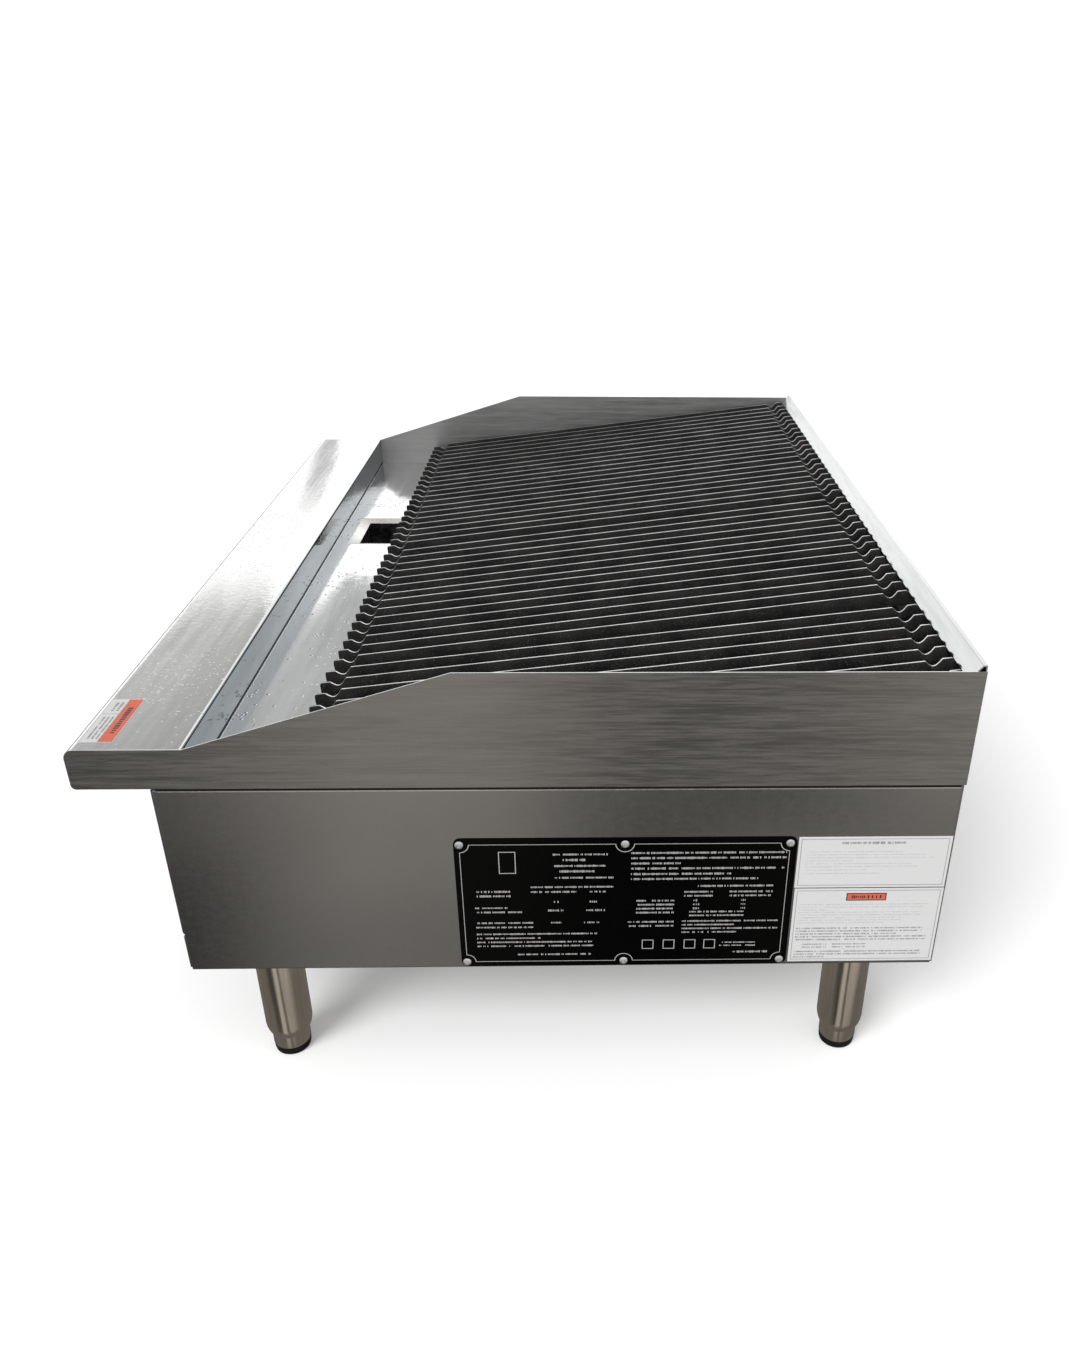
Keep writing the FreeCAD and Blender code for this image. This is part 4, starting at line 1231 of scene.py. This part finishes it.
def draw_grip(form):
    """Grip bar across the knob's face, waisted and rounded towards its front edge."""
    steps = 20
    sections = []
    for step in range(steps + 1):
        share = step / steps
        z = (-20.5 + 43 * share) * MM
        half = (4.1 + 1.6 * abs(2 * share - 1) ** 2.2) * MM
        end = min(share, 1 - share) * steps
        rise = (1 - 0.28 * max(0.0, 1 - end / 2) ** 2) * 10.2 * MM
        base, top = 25.5 * MM, 24.2 * MM - rise
        outline = [(-half, base), (-half, top + 1.6 * MM), (-half + 0.5 * MM, top + 0.5 * MM)]
        outline += [(-half + 1.6 * MM, top), (half - 1.6 * MM, top), (half - 0.5 * MM, top + 0.5 * MM)]
        outline += [(half, top + 1.6 * MM), (half, base)]
        sections.append([form.verts.new((x, y, z)) for x, y in outline])
    skinned(form, sections)


def make_knobs():
    ticks = tick_tree()
    marks = []
    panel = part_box("control_panel")[0].y
    for number in BURNERS:
        low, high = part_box(f"knob_{number}")
        x, z = (low.x + high.x) / 2, (low.z + high.z) / 2
        cap = smooth(drawn(draw_knob, "knob_cap"), 40.0)
        grip = baked(smooth(drawn(draw_grip, "knob_grip"), 40.0), "knob_grip", eased(0.3 * MM))
        line = ((-0.8 * MM, 13.5 * MM, 6 * MM), (0.8 * MM, 14.1 * MM, 20.5 * MM))
        pointer = slab("pointer", *line, 0.15 * MM)
        parts = [with_coat(cap, "knob_plastic"), with_coat(grip, "knob_plastic")]
        knob = joined_mesh(f"knob_{number}_cap", parts + [with_coat(pointer, "dial_white")])
        knob.transform(Matrix.Translation((x, FRONT, z)))
        shown(f"knob_{number}_cap", knob, f"knob_{number}", [f"knob_{number}"])
        ring = grown(ticks, "ticks", Marks=15, Ink=coat_of("knob_plastic"), Size=(0.004, 0.0009, 0.0002))
        turn = Matrix.Rotation(math.radians(90), 4, "X")
        ring.transform(Matrix.Translation((x, panel - 1.6 * MM, z)) @ turn)
        marks.append(ring)
    shown("dial_marks", joined_mesh("dial_marks", marks), CHASSIS)


# ---- CAD nodes that keep their own mesh ----

KEPT = {
    "plain_steel": ["firebox_liner", "burner_rails", "pilot_burners", "bottom_pan"],
    "iron": ["grate_rail_front", "grate_rail_rear"],
    # The grate rails lie under the grate heads; their dark iron finish is painted shade.
    "black_pipe": ["manifold_pipe", "inlet_pipe"],
    "barrel_plastic": ["igniter_bodies"],
    "brass": ["burner_orifices"],
    "body_steel": ["back_panel"],
    "chrome": ["knob_bezels"],
}
KEPT_PER_BURNER = {
    "hot_steel": ["burner", "radiant"],
    "brass": ["gas_valve"],
    "stem_steel": ["valve_stem", "spring_cup"],
    "button_plastic": ["igniter_button"],
}


def on_rim(normal, centre):
    """Cut upper edge of a side sheet, where a lighter steel paints a highlight."""
    return abs(normal.x) < 0.3 and normal.z > 0.3 and centre.z > DECK + 20 * MM


def on_drop(normal, centre):
    """The ledge's drop into the trough, which takes a dark steel as painted shade."""
    return normal.y > 0.6 and centre.y > LEDGE[1].y - 4 * MM


def on_upstand(normal, centre):
    """The trough's turned-up rear edge under the grate heads, given the dark iron finish as painted
    shade.
    """
    return centre.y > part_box("grease_trough")[1].y - 3 * MM


def on_lip(normal, centre):
    """Rim of the grease hole, which takes a lighter steel as a painted highlight."""
    return normal.z > 0.05 and centre.z > DECK - 14 * MM


def dress_nodes():
    for finish, nodes in KEPT.items():
        for node in nodes:
            with_coat(frame["nodes"][node].data, finish)
    for finish, stems in KEPT_PER_BURNER.items():
        for stem in stems:
            for number in BURNERS:
                with_coat(frame["nodes"][f"{stem}_{number}"].data, finish)
    # The accent finishes below paint highlights on the side sheets' upper edges and the grease hole's
    # rim, and shade on the ledge's drop and the trough's upstand.
    refined("side_splash_right", "side_steel", "cut_edge", on_rim)
    refined("side_splash_left", "inner_side_steel", "cut_edge", on_rim)
    refined("front_ledge", "ledge_steel", "drop_steel", on_drop)
    refined("grease_chute", "dark_steel", "rim_steel", on_lip)
    refined("grease_trough", "trough_steel", "iron", on_upstand)
    refined("rear_splash", "deflector_steel")
    for node in ("body_side_right", "body_side_left", "control_panel"):
        refined(node, "body_steel", edge=BODY_EDGE, segments=4)
    refined("drip_tray", "body_steel")


# ---- stage, lights and camera ----


def make_floor():
    mesh = bpy.data.meshes.new("floor")
    reach = 9.0
    corners = [(-reach, -reach, 0), (reach, -reach, 0), (reach, reach, 0), (-reach, reach, 0)]
    mesh.from_pydata(corners, [], [(0, 1, 2, 3)])
    floor = placed("floor", mesh)
    paint = bpy.data.materials.new("floor_paint")
    paint.use_nodes = True
    shader = paint.node_tree.nodes["Principled BSDF"]
    shader.inputs["Base Color"].default_value = grey(0.8)
    shader.inputs["Roughness"].default_value = 0.9
    shader.inputs["Specular IOR Level"].default_value = 0.0
    shader.inputs["Emission Color"].default_value = grey(1.0)
    shader.inputs["Emission Strength"].default_value = 0.16
    mesh.materials.append(paint)
    floor.visible_glossy = False


def soft_sun(name, towards, power, spread):
    """Far lamp with a broad disc, so its light is even over the whole floor."""
    data = bpy.data.lights.new(name, "SUN")
    data.energy = power
    data.angle = math.radians(spread)
    lamp = placed(name, data)
    lamp.rotation_euler = Vector(towards).to_track_quat("-Z", "Y").to_euler()
    lamp.visible_glossy = False


def make_lights():
    """Soft light from the front right, and a broader one from overhead."""
    soft_sun("key", (-0.62, 0.52, -0.62), 2.7, 32)
    soft_sun("overhead", (-0.15, -0.1, -1), 0.7, 80)


def make_world():
    """The room as the steel mirrors it: a pale window low on the far side, dim ground on this side."""
    world = bpy.data.worlds.new("room")
    world.use_nodes = True
    bpy.context.scene.world = world
    tree = world.node_tree
    tree.nodes.clear()
    nodes = Nodes(tree)
    way = nodes.add("ShaderNodeTexCoord").outputs["Generated"]
    parts = nodes.add("ShaderNodeSeparateXYZ", {0: way}).outputs
    x, y, z = parts["X"], parts["Y"], parts["Z"]
    ragged = nodes.math("SUBTRACT", nodes.noise(way, 7.0, 3.0, 0.6), 0.5)
    cloudy = nodes.spread(nodes.noise(way, 2.6, 2.0, 0.5), 0.35, 0.65)

    # Ground and furniture below the horizon: light and dark in turn along the machine's side.
    far = nodes.spread(x, -0.2, -0.6)
    near = nodes.spread(x, 0.3, 0.6)
    ground = nodes.spread(z, -0.7, -0.4, 0.26, 0.52)
    shelf = nodes.steps(
        y, 0.3, (-0.42, -0.16, 1.05), (-0.5, -0.75, 1.7), (-0.1, 0.04, -0.92), (0.17, 0.33, 0.75)
    )
    low = nodes.steps(y, 0.2, (-0.35, -0.22, 1.4), (-0.09, 0.03, -1.15), (0.07, 0.15, 0.8))
    shelf = nodes.mix(nodes.spread(z, -0.56, -0.52), low, shelf)
    shelf = nodes.mix(near, grey(0.55), shelf)
    ground = nodes.math("MULTIPLY", ground, shelf)

    # Window: bright up to an uneven upper edge that climbs towards the rear, with a post at one side.
    edge = nodes.steps(y, 0.335, (-0.275, -0.215, 0.095), (-0.2, 0.0, 0.2))
    edge = nodes.math("ADD", edge, nodes.math("MULTIPLY", ragged, 0.16))
    window = nodes.spread(nodes.math("SUBTRACT", z, edge), 0.0, 0.035, 0.85, 0.0)
    off_post = nodes.math("ADD", nodes.math("ADD", y, 0.235), nodes.math("MULTIPLY", ragged, 0.07))
    post = nodes.spread(nodes.math("ABSOLUTE", off_post), 0.009, 0.015)
    post = nodes.math("MAXIMUM", post, nodes.spread(z, 0.285, 0.31))
    sky = nodes.spread(cloudy, 0.0, 1.0, 0.44, 0.64)
    sky = nodes.math("MULTIPLY", sky, nodes.spread(z, 0.36, 0.47, 1.35, 0.96))
    pane = nodes.math("ADD", sky, nodes.math("MULTIPLY", window, post))
    walls = nodes.spread(z, 0.0, 0.7, 0.5, 0.75)
    rise = nodes.spread(z, -0.05, 0.05)
    light = nodes.mix(rise, ground, nodes.mix(far, walls, pane))
    tint = nodes.mix(rise, colour(1.0, 0.97, 0.9), colour(0.985, 1.0, 1.0))
    seen = nodes.add("ShaderNodeBackground", {"Color": tint, "Strength": light})

    # Polished steel sees that room; the camera sees plain white, and dull surfaces an even white.
    plain = nodes.add("ShaderNodeBackground", {"Color": grey(1.0), "Strength": 1.2})
    shader = nodes.add("ShaderNodeBackground", {"Color": grey(1.0), "Strength": 0.6})
    rays = nodes.add("ShaderNodeLightPath").outputs
    for ray, other in (("Is Glossy Ray", seen), ("Is Camera Ray", plain)):
        inputs = {0: rays[ray], 1: shader.outputs[0], 2: other.outputs[0]}
        shader = nodes.add("ShaderNodeMixShader", inputs)
    nodes.add("ShaderNodeOutputWorld", {"Surface": shader.outputs[0]})


def make_camera():
    """Camera at the right side of the machine, standing over its middle and looking down at it."""
    eye = (1.18336, 0.03752, 0.76133)
    yaw, pitch, roll = 0.0321, 0.4953, 0.0121
    square = math.pi / 2
    data = bpy.data.cameras.new("camera")
    data.sensor_width = 36
    data.lens = 29.14
    data.shift_x = -0.0606
    data.shift_y = 0.0244
    camera = placed("camera", data)
    aim = Matrix.Rotation(square - yaw, 4, "Z") @ Matrix.Rotation(square - pitch, 4, "X")
    camera.matrix_world = Matrix.Translation(eye) @ aim @ Matrix.Rotation(roll, 4, "Z")
    bpy.context.scene.camera = camera
    bpy.context.scene.view_settings.view_transform = "Standard"


dress_nodes()
make_grates()
make_legs()
make_plate()
make_rivets()
make_labels()
make_painted_strips()
make_knobs()
for made in TEMPLATES:
    bpy.data.objects.remove(made)
make_floor()
make_lights()
make_world()
make_camera()
